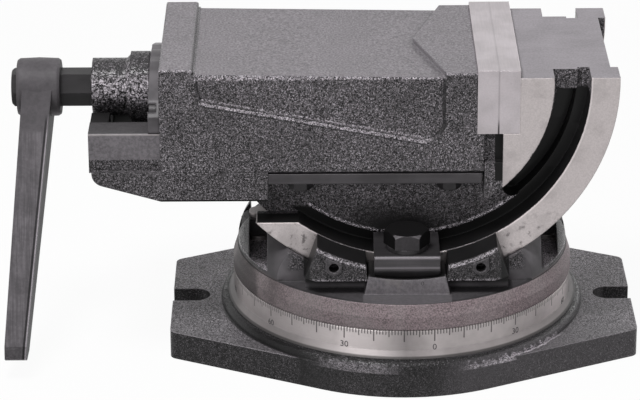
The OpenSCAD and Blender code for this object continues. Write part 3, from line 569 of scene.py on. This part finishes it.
# Each kind of stroke on the dial: degrees between strokes, width in degrees, length
STROKES = ((1.0, 0.15, 3.0 * MM), (5.0, 0.16, 4.4 * MM), (10.0, 0.19, 7.4 * MM))
# The dial stands 0.6 degrees to the left, and two full turns keep the count above 0
DIAL_SHIFT = 720.6


def dial_strokes(f, turn):
    """The strokes of the dial, which reach down from the seam; turn counts degrees from the front."""
    marks = []
    for step, width, length in STROKES:
        off = abs(((turn + DIAL_SHIFT + step / 2) / step).fraction() - 0.5) * step
        reach = f.z.rise(SEAM_Z - length - 0.1 * MM, SEAM_Z - length)
        marks.append(off.rise(width * 1.25, width * 0.75) * reach)
    return marks[0].most(marks[1]).most(marks[2])


def ring_steel(f, turn):
    """The ground ring: painted reflections that change round it, tarnish, painted shade on the flare and
    foot, the dial.
    """
    folded = turn.most(turn * -1 - 180).least(180 - turn).most(-90.0)
    stops = [(k / (len(RING_REFLECTIONS) - 1), bare(tone)) for k, tone in enumerate(RING_REFLECTIONS)]
    painted_reflections = f.node("ShaderNodeValToRGB", [folded / 180 + 0.5], stops=stops)
    tarnish = f.noise(55.0, 3.0, 0.6).rise(0.4, 0.75) * 0.25
    # painted shade on the flare, more to the right and far left
    shaded = turn.rise(40, 60) * 0.25 + turn.rise(-30, -42) * 0.15
    # painted shade along the ring's foot
    seam = f.z.before(RING_LOW + 1.2 * MM, 0.4 * MM)
    strokes = dial_strokes(f, turn)
    steel = ground(f, 200, (0.15, 0.15, 3.0), 0.5)
    steel.metal = 0.3
    steel.colour = f.mix(0.75, steel.colour, painted_reflections)
    steel.colour = f.mix(tarnish, steel.colour, bare(98))
    steel.colour = f.mix(f.z.before(FLARE_Z, 0.5 * MM) * (0.5 + shaded), steel.colour, bare(70))
    steel.colour = f.mix(seam * 0.8, steel.colour, bare(40))
    steel.colour = f.mix(strokes * 0.8, steel.colour, bare(46))
    steel.height = steel.height - strokes * 1.5
    return steel


def base_paint(f, turn):
    """The plate's paint, with painted light: pale on top, shade on the foot, hollow and left facets, bright
    broken edges.
    """
    top = f.facing_up.rise(0.8, 0.95)
    upper = f.z.past(PLATE_TOP_Z, 0.4 * MM)
    ragged = f.ragged(4 * MM, 260.0)
    edge = f.edges(1.1 * MM) * f.z.within(*EDGE_Z) * f.from_axis.past(EDGE_R, 0.5 * MM)
    arc = (f.from_axis + ragged).within(*ARC_R, 0.5 * MM)
    arc = arc * turn.rise(*ARC_TURN[:2]) * turn.rise(ARC_TURN[3], ARC_TURN[2]) * upper
    front = (f.from_axis + ragged).within(*FRONT_R, 1 * MM) * turn.within(*FRONT_TURN, 5) * upper
    foot = f.from_axis.before(FOOT_R, 0.5 * MM)
    hollow = f.from_axis.within(*HOLLOW_R) * turn.within(*HOLLOW_TURN, 5)

    # painted light: the top paler than the sides
    paint = hammertone(f, 6, 50, 106, 1.9 * MM).under(top, hammertone(f, 66, 148, 214, 1.9 * MM))
    # painted shade on the top towards the front
    paint.colour = f.mix(top * f.y.before(-35 * MM, 25 * MM) * 0.75, paint.colour, painted(50))
    # painted shade on the foot round the ring
    paint = paint.under(foot, hammertone(f, 6, 42, 92, 1.8 * MM))
    # painted shade on the left facets and painted light on the right ones
    paint.colour = f.mix((1 - top) * f.facing_right.rise(-0.2, -0.5) * 0.45, paint.colour, painted(18))
    paint.colour = f.mix((1 - top) * f.facing_right.rise(0.1, 0.35) * 0.2, paint.colour, painted(130))
    # painted highlight along the plate's top edge
    paint.colour = f.mix(edge * 0.8, paint.colour, painted(176))
    # painted shade in the hollow by the ring
    paint = paint.under(hollow * 0.8, smooth(f, 16, 0.3))
    # painted highlights: bright broken arcs round the foot and in front
    return paint.under(arc.most(front * 0.3), hammertone(f, 60, 190, 255, 1.3 * MM))


def base_finish():
    """The base plate: hammertone, with the ground ring and its dial, one stroke to the degree."""
    f = paint_finish("base_casting")
    turn = f.node("ShaderNodeMath", [f.x, -f.y], operation="ARCTAN2") * (180 / math.pi)
    ring = f.from_axis.before(RING_R, 0.3 * MM) * f.z.past(RING_LOW - 0.1 * MM)
    return base_paint(f, turn).under(ring, ring_steel(f, turn)).material()


# The swivel table. BESIDE counts along the screw from the tilt axis, to either side
END_BESIDE = 86 * MM
FOOT_BESIDE = (58 * MM, 70 * MM)
FOOT_WIDE = 64 * MM
FOOT_Z = 63 * MM
POCKET_BESIDE = 83.5 * MM
POCKET_Z = (58.5 * MM, 59.5 * MM)
CHEEK_BESIDE = (22 * MM, 61.2 * MM)
CHEEK_FRONT = 83.7 * MM
CHEEK_LOW_EDGE = (63.6 * MM, 65.2 * MM)
CHEEK_TOP_EDGE = (FLANGE_IN_R + 0.4 * MM, FLANGE_IN_R + 2.0 * MM)
INSIDE_WIDE = 62.3 * MM
INSIDE_BESIDE = 61.5 * MM
INSIDE_Z = 58.5 * MM
LIP_WIDE = (62 * MM, 63.6 * MM)
LIP_R = (FLANGE_IN_R - 0.3 * MM, FLANGE_IN_R + 1.2 * MM)
BOSS_WIDE = 86.65 * MM
BOSS_BESIDE = (38 * MM, 49 * MM)
BOSS_Z = (68 * MM, 86 * MM)
CROWN_Z = 88.25 * MM
SEAT_WIDE = 86.35 * MM
SEAT_BESIDE = 26.25 * MM
SEAT_LOW_Z = 54.3 * MM
TOP_BESIDE = 85 * MM
TOP_Z = 64 * MM
TABLE_STEP_WIDE = 61 * MM
TABLE_STEP_Z = 56.25 * MM
FLAT_Z = 56.5 * MM
FLAT_R = 98.5 * MM
BEVEL_R = DIAL_R - 3.2 * MM
RIM_R = DIAL_R - 2.95 * MM
RIM_Z = 56.7 * MM


def table_saddle(f, ragged):
    """The saddle: smooth, with painted shade on its left facets, hammertone towards its ends and beside the
    cheeks.
    """
    saddle = smooth(f, 86, 0.4)
    # painted shade on the left facets
    saddle.colour = f.mix(f.facing_right.rise(-0.3, -0.8) * 0.6, saddle.colour, painted(48))
    ends = (f.aside + ragged).past(END_BESIDE, 2 * MM) * f.z.past(FLAT_Z - 0.1 * MM, 0.6 * MM)
    foot = (f.aside + ragged).within(*FOOT_BESIDE, 3 * MM) * f.wide.past(FOOT_WIDE, 2 * MM)
    coat = saddle.under(ends, hammertone(f, 12, 66, 120))
    return coat.under(foot * f.z.past(FOOT_Z, 2 * MM), hammertone(f, 16, 84, 156))


def table_cheeks(f, ragged, coat):
    """Adds the cheeks: hammertone in front with painted highlights, painted shade inside, smooth on the
    screws' bosses.
    """
    # painted shade inside, between the flanges, and over the crown
    inside = f.wide.past(INSIDE_WIDE, 0.3 * MM) * f.aside.before(INSIDE_BESIDE, 0.5 * MM)
    inside = inside * f.z.past(INSIDE_Z, 1.5 * MM)
    crown = f.z.past(CROWN_Z, 0.75 * MM)
    coat = coat.under(inside.most(crown), smooth(f, 18, 0.45))
    # painted highlights along the cheeks' low and top edges
    low_edge = f.z.within(*CHEEK_LOW_EDGE, 0.4 * MM)
    top_edge = (f.from_tilt + ragged * 0.12).within(*CHEEK_TOP_EDGE, 0.5 * MM)
    front = f.wide.past(CHEEK_FRONT, 0.7 * MM) * f.aside.within(*CHEEK_BESIDE)
    cheek = hammertone(f, 8, 66, 118, painted_highlight=(low_edge * 0.35).most(top_edge * 0.55))
    coat = coat.under(front * f.z.past(CHEEK_LOW_EDGE[0], 0.2 * MM), cheek)
    boss = f.wide.past(BOSS_WIDE, 0.15 * MM) * f.aside.within(*BOSS_BESIDE) * f.z.within(*BOSS_Z)
    coat = coat.under(boss, satin(f, 50, 84, 700.0))
    # painted highlights round the bosses' edges
    coat.colour = f.mix(boss * f.edges(0.7 * MM) * 0.5, coat.colour, painted(150))
    # painted highlight along the flange's inner edge
    lip_highlight = f.wide.within(*LIP_WIDE) * f.from_tilt.within(*LIP_R)
    return coat.under(lip_highlight * f.aside.within(CHEEK_BESIDE[0], 62 * MM) * 0.8, satin(f, 96, 128))


def table_seat(f, coat):
    """Adds the pockets' floors, the clamp's pale seat, painted shade on the tops and the step, and the flat
    round them.
    """
    pocket = f.z.within(*POCKET_Z) * f.aside.past(POCKET_BESIDE, 0.5 * MM)
    coat = coat.under(pocket, hammertone(f, 30, 150, 240))
    seat = f.wide.past(SEAT_WIDE, 0.15 * MM) * f.aside.before(SEAT_BESIDE, 0.25 * MM)
    seat = seat * f.z.past(SEAT_LOW_Z, 0.3 * MM)
    tone = satin(f, 98, 128, 500.0)
    tone.colour = f.mix(f.noise(90.0, 3.0).rise(0.5, 0.7) * 0.5, tone.colour, bare(128))
    # painted shade on the seat's top
    tone.colour = f.mix(f.facing_up.rise(0.7, 0.9) * 0.7, tone.colour, painted(58))
    coat = coat.under(seat, tone)
    # painted shade on the upward faces of the ends
    upper = f.aside.past(TOP_BESIDE, 1 * MM) * f.facing_up.rise(0.3, 0.8) * f.z.past(TOP_Z, 2 * MM)
    coat.colour = f.mix(upper * 0.7, coat.colour, painted(26))
    bevel = f.from_axis.past(BEVEL_R, 0.2 * MM) * f.facing_up.rise(0.1, 0.3)
    foot_line = f.z.before(FLAT_Z, 0.5 * MM) * f.from_axis.past(FLAT_R, 0.5 * MM) * (1 - seat)
    # painted shade on the step under the cheeks
    step = f.z.before(TABLE_STEP_Z, 0.25 * MM) * f.wide.past(TABLE_STEP_WIDE, 1 * MM)
    step = step * f.from_axis.before(FLAT_R, 0.5 * MM) * (1 - seat)
    return coat.under(bevel.most(foot_line), smooth(f, 50, 0.4)).under(step * 0.8, satin(f, 36, 60, 500.0))


def table_rim(f):
    """The rim's coat: brownish, grained iron with paler clouds, darker towards the left."""
    grain = f.noise(1100.0, 3.0, 0.75)
    cloud = f.noise(38.0, 3.0).rise(0.35, 0.7)
    tone = f.mix(grain.rise(0.35, 0.65), srgb(92, 83, 85), srgb(152, 136, 140))
    tone = f.mix(cloud * 0.35, tone, bare(150))
    tone = f.mix((f.x + f.y * 0.6).before(-70 * MM, 50 * MM) * 0.4, tone, bare(64))
    tone = f.mix(f.x.before(-76 * MM, 8 * MM) * cloud.rise(1.0, 0.2) * 0.7, tone, bare(44))
    return Coat(f, tone, 0.5, 0.3, grain * 0.7)


def table_finish():
    """The swivel table: a grained rim, hammertone cheeks and ends and a smooth painted saddle."""
    f = paint_finish("table_casting")
    ragged = f.ragged(7 * MM, 220.0, 3.0, 0.6)
    coat = table_seat(f, table_cheeks(f, ragged, table_saddle(f, ragged)))
    rim = f.from_axis.past(RIM_R, 0.35 * MM) * f.facing_up.rise(0.7, 0.5) * f.z.before(RIM_Z, 0.3 * MM)
    return coat.under(rim, table_rim(f)).material(radius=1.5 * MM)


def steel_finish(name, level, along, stain):
    """Ground or turned steel with edges rubbed brighter by wear."""
    f = Finish(name, IOR=1.45)
    coat = ground(f, level, along, stain)
    coat.colour = f.mix(f.edges(0.6 * MM) * 0.5, coat.colour, bare(min(level * 1.15, 235)))
    return coat.material(0.08 * MM, 0.5 * MM)


JOINT_OPEN_Z = 155 * MM


def plate_finish(name, level):
    """A jaw plate: ground across, with a dark joint against the other plate, open towards the bottom."""
    f = Finish(name, IOR=1.45)
    coat = ground(f, level, (1, 0.05, 1), 0.3)
    clouds = f.mix(f.noise(55.0, 3.0).rise(0.35, 0.7), painted(168), painted(196))
    coat.colour = f.mix(0.45, coat.colour, clouds)
    from_joint = abs(f.x - PLATE_LOW.x)
    wear_and_highlight = f.edges(0.6 * MM) * from_joint.past(2 * MM, 0.5 * MM)
    joint = from_joint.before(0.5 * MM, 0.3 * MM) * (0.2 + f.z.before(JOINT_OPEN_Z, 4 * MM) * 0.7)
    coat.colour = f.mix(wear_and_highlight * 0.5, coat.colour, bare(215))
    coat.colour = f.mix(joint, coat.colour, bare(40))
    return coat.material(0.08 * MM, 0.3 * MM)


def black_coat(name, level, streak=(1, 1, 1), metal=0.3, gloss=0.36, shine=0.3):
    """Blackened steel: fine grain, draw marks, smudges and edges rubbed bright."""
    f = Finish(name, IOR=1.45, Specular_IOR_Level=shine)
    grain = f.noise(1600.0, 2.0, 0.6)
    marks = f.noise(420.0, 3.0, 0.6, f.stretched(*streak))
    smudge = f.noise(60.0, 3.0, 0.55)
    share = smudge.rise(0.35, 0.7) * 0.4 + grain * 0.2 + marks.rise(0.35, 0.7) * 0.3
    colour = f.mix(share, painted(level * 0.84), painted(level * 1.18))
    colour = f.mix(f.edges(0.5 * MM) * 0.4, colour, painted(level * 1.8))
    return Coat(f, colour, blend(smudge, gloss, gloss + 0.14), metal, grain + marks)


CLAMP_FRONT = 84 * MM
CLAMP_FOOT_Z = 69.75 * MM
CLAMP_LINES = ((78 * MM, 79.2 * MM), (71.8 * MM, 73 * MM))
CLAMP_BOLT_WIDE = 71.5 * MM
FAR_FACETS = 11.3 * MM
CHAMFER_FRONT = 9.5 * MM


def clamp_finish():
    """A clamp block: painted shade makes it black on top and under its front; two painted highlights cross
    the front.
    """
    coat = black_coat("clamp_steel", 72, (0.05, 1, 1))
    f = coat.finish
    front = f.wide.past(CLAMP_FRONT, 1 * MM)
    # painted shade: black on the top and under the front
    dark = (f.facing_up.rise(0.8, 0.95) * 0.6).most(f.z.before(CLAMP_FOOT_Z, 1.25 * MM) * 0.8)
    coat.colour = f.mix(dark, coat.colour, painted(22))
    # painted highlights: two lines across the front
    lines = f.z.within(*CLAMP_LINES[0], 0.4 * MM).most(f.z.within(*CLAMP_LINES[1], 0.5 * MM))
    coat.colour = f.mix(lines * front * 0.6, coat.colour, painted(128))
    return coat.material(0.03 * MM, 1.4 * MM)


def clamp_bolt_finish():
    """A clamp's bolt: painted shade blackens its top and far facets; greyer in front, with a painted
    highlight.
    """
    coat = black_coat("clamp_bolt_steel", 60, metal=0.0, shine=0.1)
    f = coat.finish
    front = f.wide - CLAMP_BOLT_WIDE
    # painted shade: black top and far facets
    dark = f.facing_up.rise(0.85, 0.95).most(front.before(FAR_FACETS, 0.3 * MM))
    coat.colour = f.mix(dark * 0.95, coat.colour, painted(10))
    # painted highlight on the front chamfer
    chamfer = f.facing_up.within(0.2, 0.8, 0.1) * front.past(CHAMFER_FRONT, 0.5 * MM)
    coat.colour = f.mix(chamfer * 0.5, coat.colour, painted(110))
    return coat.material(0.03 * MM, 0.7 * MM)


# The crank: the arm's lean, and the line of its right edge from the low end, as x and z
ARM_LEAN = math.radians(30)
ARM_TOP_Z = 138 * MM
ARM_END = (-226.2 * MM, 23.3 * MM)
ARM_TAPER = 0.1077
ARM_BACK = -84.5 * MM
LINES_TOP_Z = 145 * MM


def crank_finish():
    """The crank: grey, with faint draw marks along the arm and painted shade and highlight lines by its
    right edge.
    """
    coat = black_coat("crank_steel", 94, (1, 1, 1), 0.0, 0.4, 0.1)
    f = coat.finish
    arm = f.z.before(ARM_TOP_Z, 2 * MM)
    across = f.y * math.cos(ARM_LEAN) - f.z * math.sin(ARM_LEAN)
    along = f.y * math.sin(ARM_LEAN) + f.z * math.cos(ARM_LEAN)
    marks = f.noise(800.0, 2.0, 0.6, f.node("ShaderNodeCombineXYZ", [f.x, across, along * 0.02]))
    coat.colour = f.mix(arm * marks.rise(0.42, 0.6) * 0.35, coat.colour, painted(56))
    # painted shade and a painted highlight: dark and bright lines by the arm's right edge, dark on the back
    # of its side
    side = f.facing_right.rise(0.5, 0.8)
    from_edge = f.x - ARM_END[0] - (f.z - ARM_END[1]) * ARM_TAPER
    line = (1 - side) * from_edge.within(-2.2 * MM, -1.0 * MM, 0.2 * MM)
    dark = line.most(side * across.past(ARM_BACK, 0.5 * MM)) * f.z.before(LINES_TOP_Z, 3 * MM)
    coat.colour = f.mix(dark * 0.8, coat.colour, painted(18))
    light = (1 - side) * from_edge.past(-0.7 * MM) * f.z.before(LINES_TOP_Z, 3 * MM)
    coat.colour = f.mix(light * 0.6, coat.colour, painted(176))
    coat.colour = f.mix((1 - arm) * 0.45, coat.colour, painted(52))
    return coat.material(0.03 * MM, 0.9 * MM)


def black_finish(name, level, *looks):
    """Plain blackened steel for bolts, rails and the screw."""
    return black_coat(name, level, *looks).material(0.03 * MM, 0.9 * MM)


FINISHES = {
    "base_plate": base_finish(),
    "swivel_table": table_finish(),
    "vise_body": body_finish(),
    "movable_jaw": jaw_finish(),
    "screw_bracket": bracket_finish(),
    "fixed_plate": plate_finish("fixed_plate_steel", 182),
    "movable_plate": plate_finish("movable_plate_steel", 180),
    "crank_handle": crank_finish(),
    "vise_screw": black_finish("screw_steel", 40, (0.1, 1, 1), 0.0, 0.36, 0.15),
    "side_rails": black_finish("rail_steel", 66, (0.05, 1, 1)),
}
SHARED = {
    "clamp_block": clamp_finish(),
    "clamp_bolt": clamp_bolt_finish(),
    "bolt": black_finish("bolt_steel", 50),
    "turned": steel_finish("turned_steel", 150, (0.2, 1, 1), 0.5),
}
TURNED = ("swivel_tee_bolts", "swivel_washers", "screw_nut", "hold_down_plate", "thrust_collar")


def finish_of(node):
    """The finish of a node: its own, or the one that its kind of part shares."""
    if node in FINISHES:
        return FINISHES[node]
    if node in TURNED:
        return SHARED["turned"]
    return SHARED.get(node.rsplit("_", 1)[0], SHARED["bolt"])


for node, piece in frame["nodes"].items():
    piece.data.materials.clear()
    piece.data.materials.append(finish_of(node))


# Numbers on the ring and the table's mark
HALF_THICK = 0.04 * MM
DIAL_NUMBERS = ["0", "30", "60", "90", "60", "30"] * 2
DIAL_STEP = 30.0
DIAL_START = 9.4
DIAL_HEIGHT = 5.4 * MM
DIAL_Z = SEAM_Z - 11.4 * MM
DIAL_OUT = DIAL_R + 0.04 * MM
MARK_HEIGHT = 4.0 * MM
MARK_X = 10.0 * MM
MARK_Y = -86.85 * MM
MARK_Z = 62.6 * MM


def ink_finish():
    """The dark grey of the numbers, a little uneven."""
    f = Finish("engraved_ink", IOR=1.45, Roughness=0.6)
    return f.surface(Base_Color=f.mix(f.noise(900.0).rise(0.3, 0.7), painted(44), painted(84)))


def number_piece(name, text, height, place):
    """A thin closed number. place carries its points, given across, up and out, onto a surface."""
    curve = bpy.data.curves.new(name, "FONT")
    curve.body = text
    curve.size = height
    curve.align_x = "CENTER"
    curve.align_y = "CENTER"
    curve.resolution_u = 3
    curve.fill_mode = "BOTH"
    curve.extrude = HALF_THICK
    flat = bpy.data.objects.new(name, curve)
    bpy.context.scene.collection.objects.link(flat)
    bpy.context.view_layer.update()
    mesh = bpy.data.meshes.new_from_object(flat)
    bpy.data.objects.remove(flat)
    welded = bmesh.new()
    welded.from_mesh(mesh)
    bmesh.ops.remove_doubles(welded, verts=welded.verts, dist=HALF_THICK / 20)
    welded.to_mesh(mesh)
    welded.free()
    points = np.zeros(len(mesh.vertices) * 3)
    mesh.vertices.foreach_get("co", points)
    points = points.reshape(-1, 3)
    mesh.vertices.foreach_set("co", place(*points.T).ravel())
    mesh.update()
    return mesh


def joined(name, meshes, finish, body):
    """Several meshes as one piece that rides on a body."""
    points, faces = [], []
    for mesh in meshes:
        start = sum(len(p) for p in points)
        co = np.zeros(len(mesh.vertices) * 3)
        mesh.vertices.foreach_get("co", co)
        points.append(co.reshape(-1, 3))
        faces += [[start + v for v in face.vertices] for face in mesh.polygons]
    whole = bpy.data.meshes.new(name)
    whole.from_pydata(np.concatenate(points).tolist(), [], faces)
    whole.materials.append(finish)
    piece = bpy.data.objects.new(name, whole)
    bpy.context.scene.collection.objects.link(piece)
    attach(piece, body)
    return piece


def round_the_ring(angle, radius, height):
    """Points wrapped round the ring: across becomes an angle from the front, up a height, out a radius."""
    def place(across, up, out):
        turn = math.radians(angle) + across / radius
        x = (radius + out) * np.sin(turn)
        y = -(radius + out) * np.cos(turn)
        return np.stack([x, y, height + up], axis=1)
    return place


def on_the_seat(across, up, out):
    """Points laid on the front of the clamp's seat."""
    return np.stack([MARK_X + across, MARK_Y - out, MARK_Z + up], axis=1)


ink = ink_finish()
numbers = []
for k, text in enumerate(DIAL_NUMBERS):
    place = round_the_ring(DIAL_START + DIAL_STEP * k, DIAL_OUT, DIAL_Z)
    numbers.append(number_piece("number", text, DIAL_HEIGHT, place))
joined("dial_numbers", numbers, ink, "base")
mark = number_piece("number", "0", MARK_HEIGHT, on_the_seat)
joined("seat_mark", [mark], ink, "table")


# Floor, light and camera
FLOOR_HALF = 8.0
FLOOR_Z = -0.2 * MM
FLOOR_GREY = (0.62, 0.62, 0.62, 1.0)
FLOOR_WHITE = 0.95
WHITE = (1.0, 1.0, 1.0, 1.0)
FILL = 0.3
AIM = (0.0, 0.0, 0.1)
# Each lamp: name, place, size in metres, power in watts
LAMPS = (
    ("top_light", (-0.35, -0.45, 1.5), 0.45, 22.0),
    ("front_light", (-1.2, -2.0, 0.9), 1.0, 8.0),
    ("back_light", (1.2, 2.0, 0.9), 1.0, 8.0),
)


def seen_share(nodes, links, share):
    """That share for rays from the camera, mirrors and glass, and 0 for the light that falls on things."""
    ray = nodes.new("ShaderNodeLightPath")
    total = ray.outputs["Is Camera Ray"]
    for kind in ("Is Glossy Ray", "Is Transmission Ray"):
        most = nodes.new("ShaderNodeMath")
        most.operation = "MAXIMUM"
        links.new(total, most.inputs[0])
        links.new(ray.outputs[kind], most.inputs[1])
        total = most.outputs[0]
    scaled = nodes.new("ShaderNodeMath")
    scaled.operation = "MULTIPLY"
    links.new(total, scaled.inputs[0])
    scaled.inputs[1].default_value = share
    return scaled.outputs[0]


def floor():
    """A pale floor, nearly white to the camera, that keeps a light shadow of the object."""
    f = Finish("floor_white", Roughness=0.9, Specular_IOR_Level=0.0, Base_Color=FLOOR_GREY)
    glow = f.nodes.new("ShaderNodeEmission")
    glow.inputs["Color"].default_value = WHITE
    both = f.nodes.new("ShaderNodeMixShader")
    f.links.new(seen_share(f.nodes, f.links, FLOOR_WHITE), both.inputs[0])
    f.links.new(f.shader.outputs[0], both.inputs[1])
    f.links.new(glow.outputs[0], both.inputs[2])
    f.links.new(both.outputs[0], f.nodes["Material Output"].inputs["Surface"])
    corners = [(-FLOOR_HALF, -FLOOR_HALF, FLOOR_Z), (FLOOR_HALF, -FLOOR_HALF, FLOOR_Z),
               (FLOOR_HALF, FLOOR_HALF, FLOOR_Z), (-FLOOR_HALF, FLOOR_HALF, FLOOR_Z)]
    mesh = bpy.data.meshes.new("floor")
    mesh.from_pydata(corners, [], [(0, 1, 2, 3)])
    mesh.materials.append(f.material)
    made = bpy.data.objects.new("floor", mesh)
    bpy.context.scene.collection.objects.link(made)


def surroundings(fill):
    """White all round to the eye, and that much soft light on the object."""
    world = bpy.data.worlds.new("studio")
    bpy.context.scene.world = world
    world.use_nodes = True
    nodes = world.node_tree.nodes
    links = world.node_tree.links
    strength = nodes.new("ShaderNodeMath")
    strength.operation = "ADD"
    links.new(seen_share(nodes, links, 1.0 - fill), strength.inputs[0])
    strength.inputs[1].default_value = fill
    background = nodes["Background"]
    background.inputs["Color"].default_value = WHITE
    links.new(strength.outputs[0], background.inputs["Strength"])


def set_down(name, data, right, up, back, place):
    """A lamp or camera that looks away from back, as an object at that place."""
    holder = bpy.data.objects.new(name, data)
    bpy.context.scene.collection.objects.link(holder)
    columns = np.stack([right, up, back, place], 1)
    holder.matrix_world = Matrix(columns.tolist() + [[0, 0, 0, 1]])
    return holder


def lamp(name, place, size, power):
    """A soft square lamp at place, turned towards the vise."""
    light = bpy.data.lights.new(name, "AREA")
    light.size = size
    light.energy = power
    back = np.array(place) - np.array(AIM)
    back = back / np.linalg.norm(back)
    side = np.cross((0.0, 1.0, 0.001), back)
    side = side / np.linalg.norm(side)
    set_down(name, light, side, np.cross(back, side), back, np.array(place))


PITCH = math.radians(22.46)
YAW = math.radians(-0.06)
ROLL = math.radians(0.28)
TARGET = np.array([-50.43, 0.0, 80.75]) * MM
DISTANCE = 1979.7 * MM
SENSOR_WIDTH = 36.0
FOCAL_SHARE = 3216.15 / 640
CLIP = (0.1, 50.0)


def camera():
    """The photograph's camera, level with a slight roll, looking down on the front of the vise."""
    turn = np.array([[math.cos(YAW), -math.sin(YAW), 0], [math.sin(YAW), math.cos(YAW), 0], [0, 0, 1]])
    right = turn @ np.array([1.0, 0.0, 0.0])
    ahead = turn @ np.array([0.0, math.cos(PITCH), -math.sin(PITCH)])
    up = turn @ np.array([0.0, math.sin(PITCH), math.cos(PITCH)])
    rolled_right = math.cos(ROLL) * right - math.sin(ROLL) * up
    rolled_up = math.sin(ROLL) * right + math.cos(ROLL) * up
    lens = bpy.data.cameras.new("camera")
    lens.sensor_width = SENSOR_WIDTH
    lens.lens = FOCAL_SHARE * SENSOR_WIDTH
    lens.clip_start, lens.clip_end = CLIP
    place = TARGET - ahead * DISTANCE
    bpy.context.scene.camera = set_down("camera", lens, rolled_right, rolled_up, -ahead, place)


floor()
surroundings(FILL)
camera()
for lamp_row in LAMPS:
    lamp(*lamp_row)
bpy.context.scene.view_settings.view_transform = "Standard"
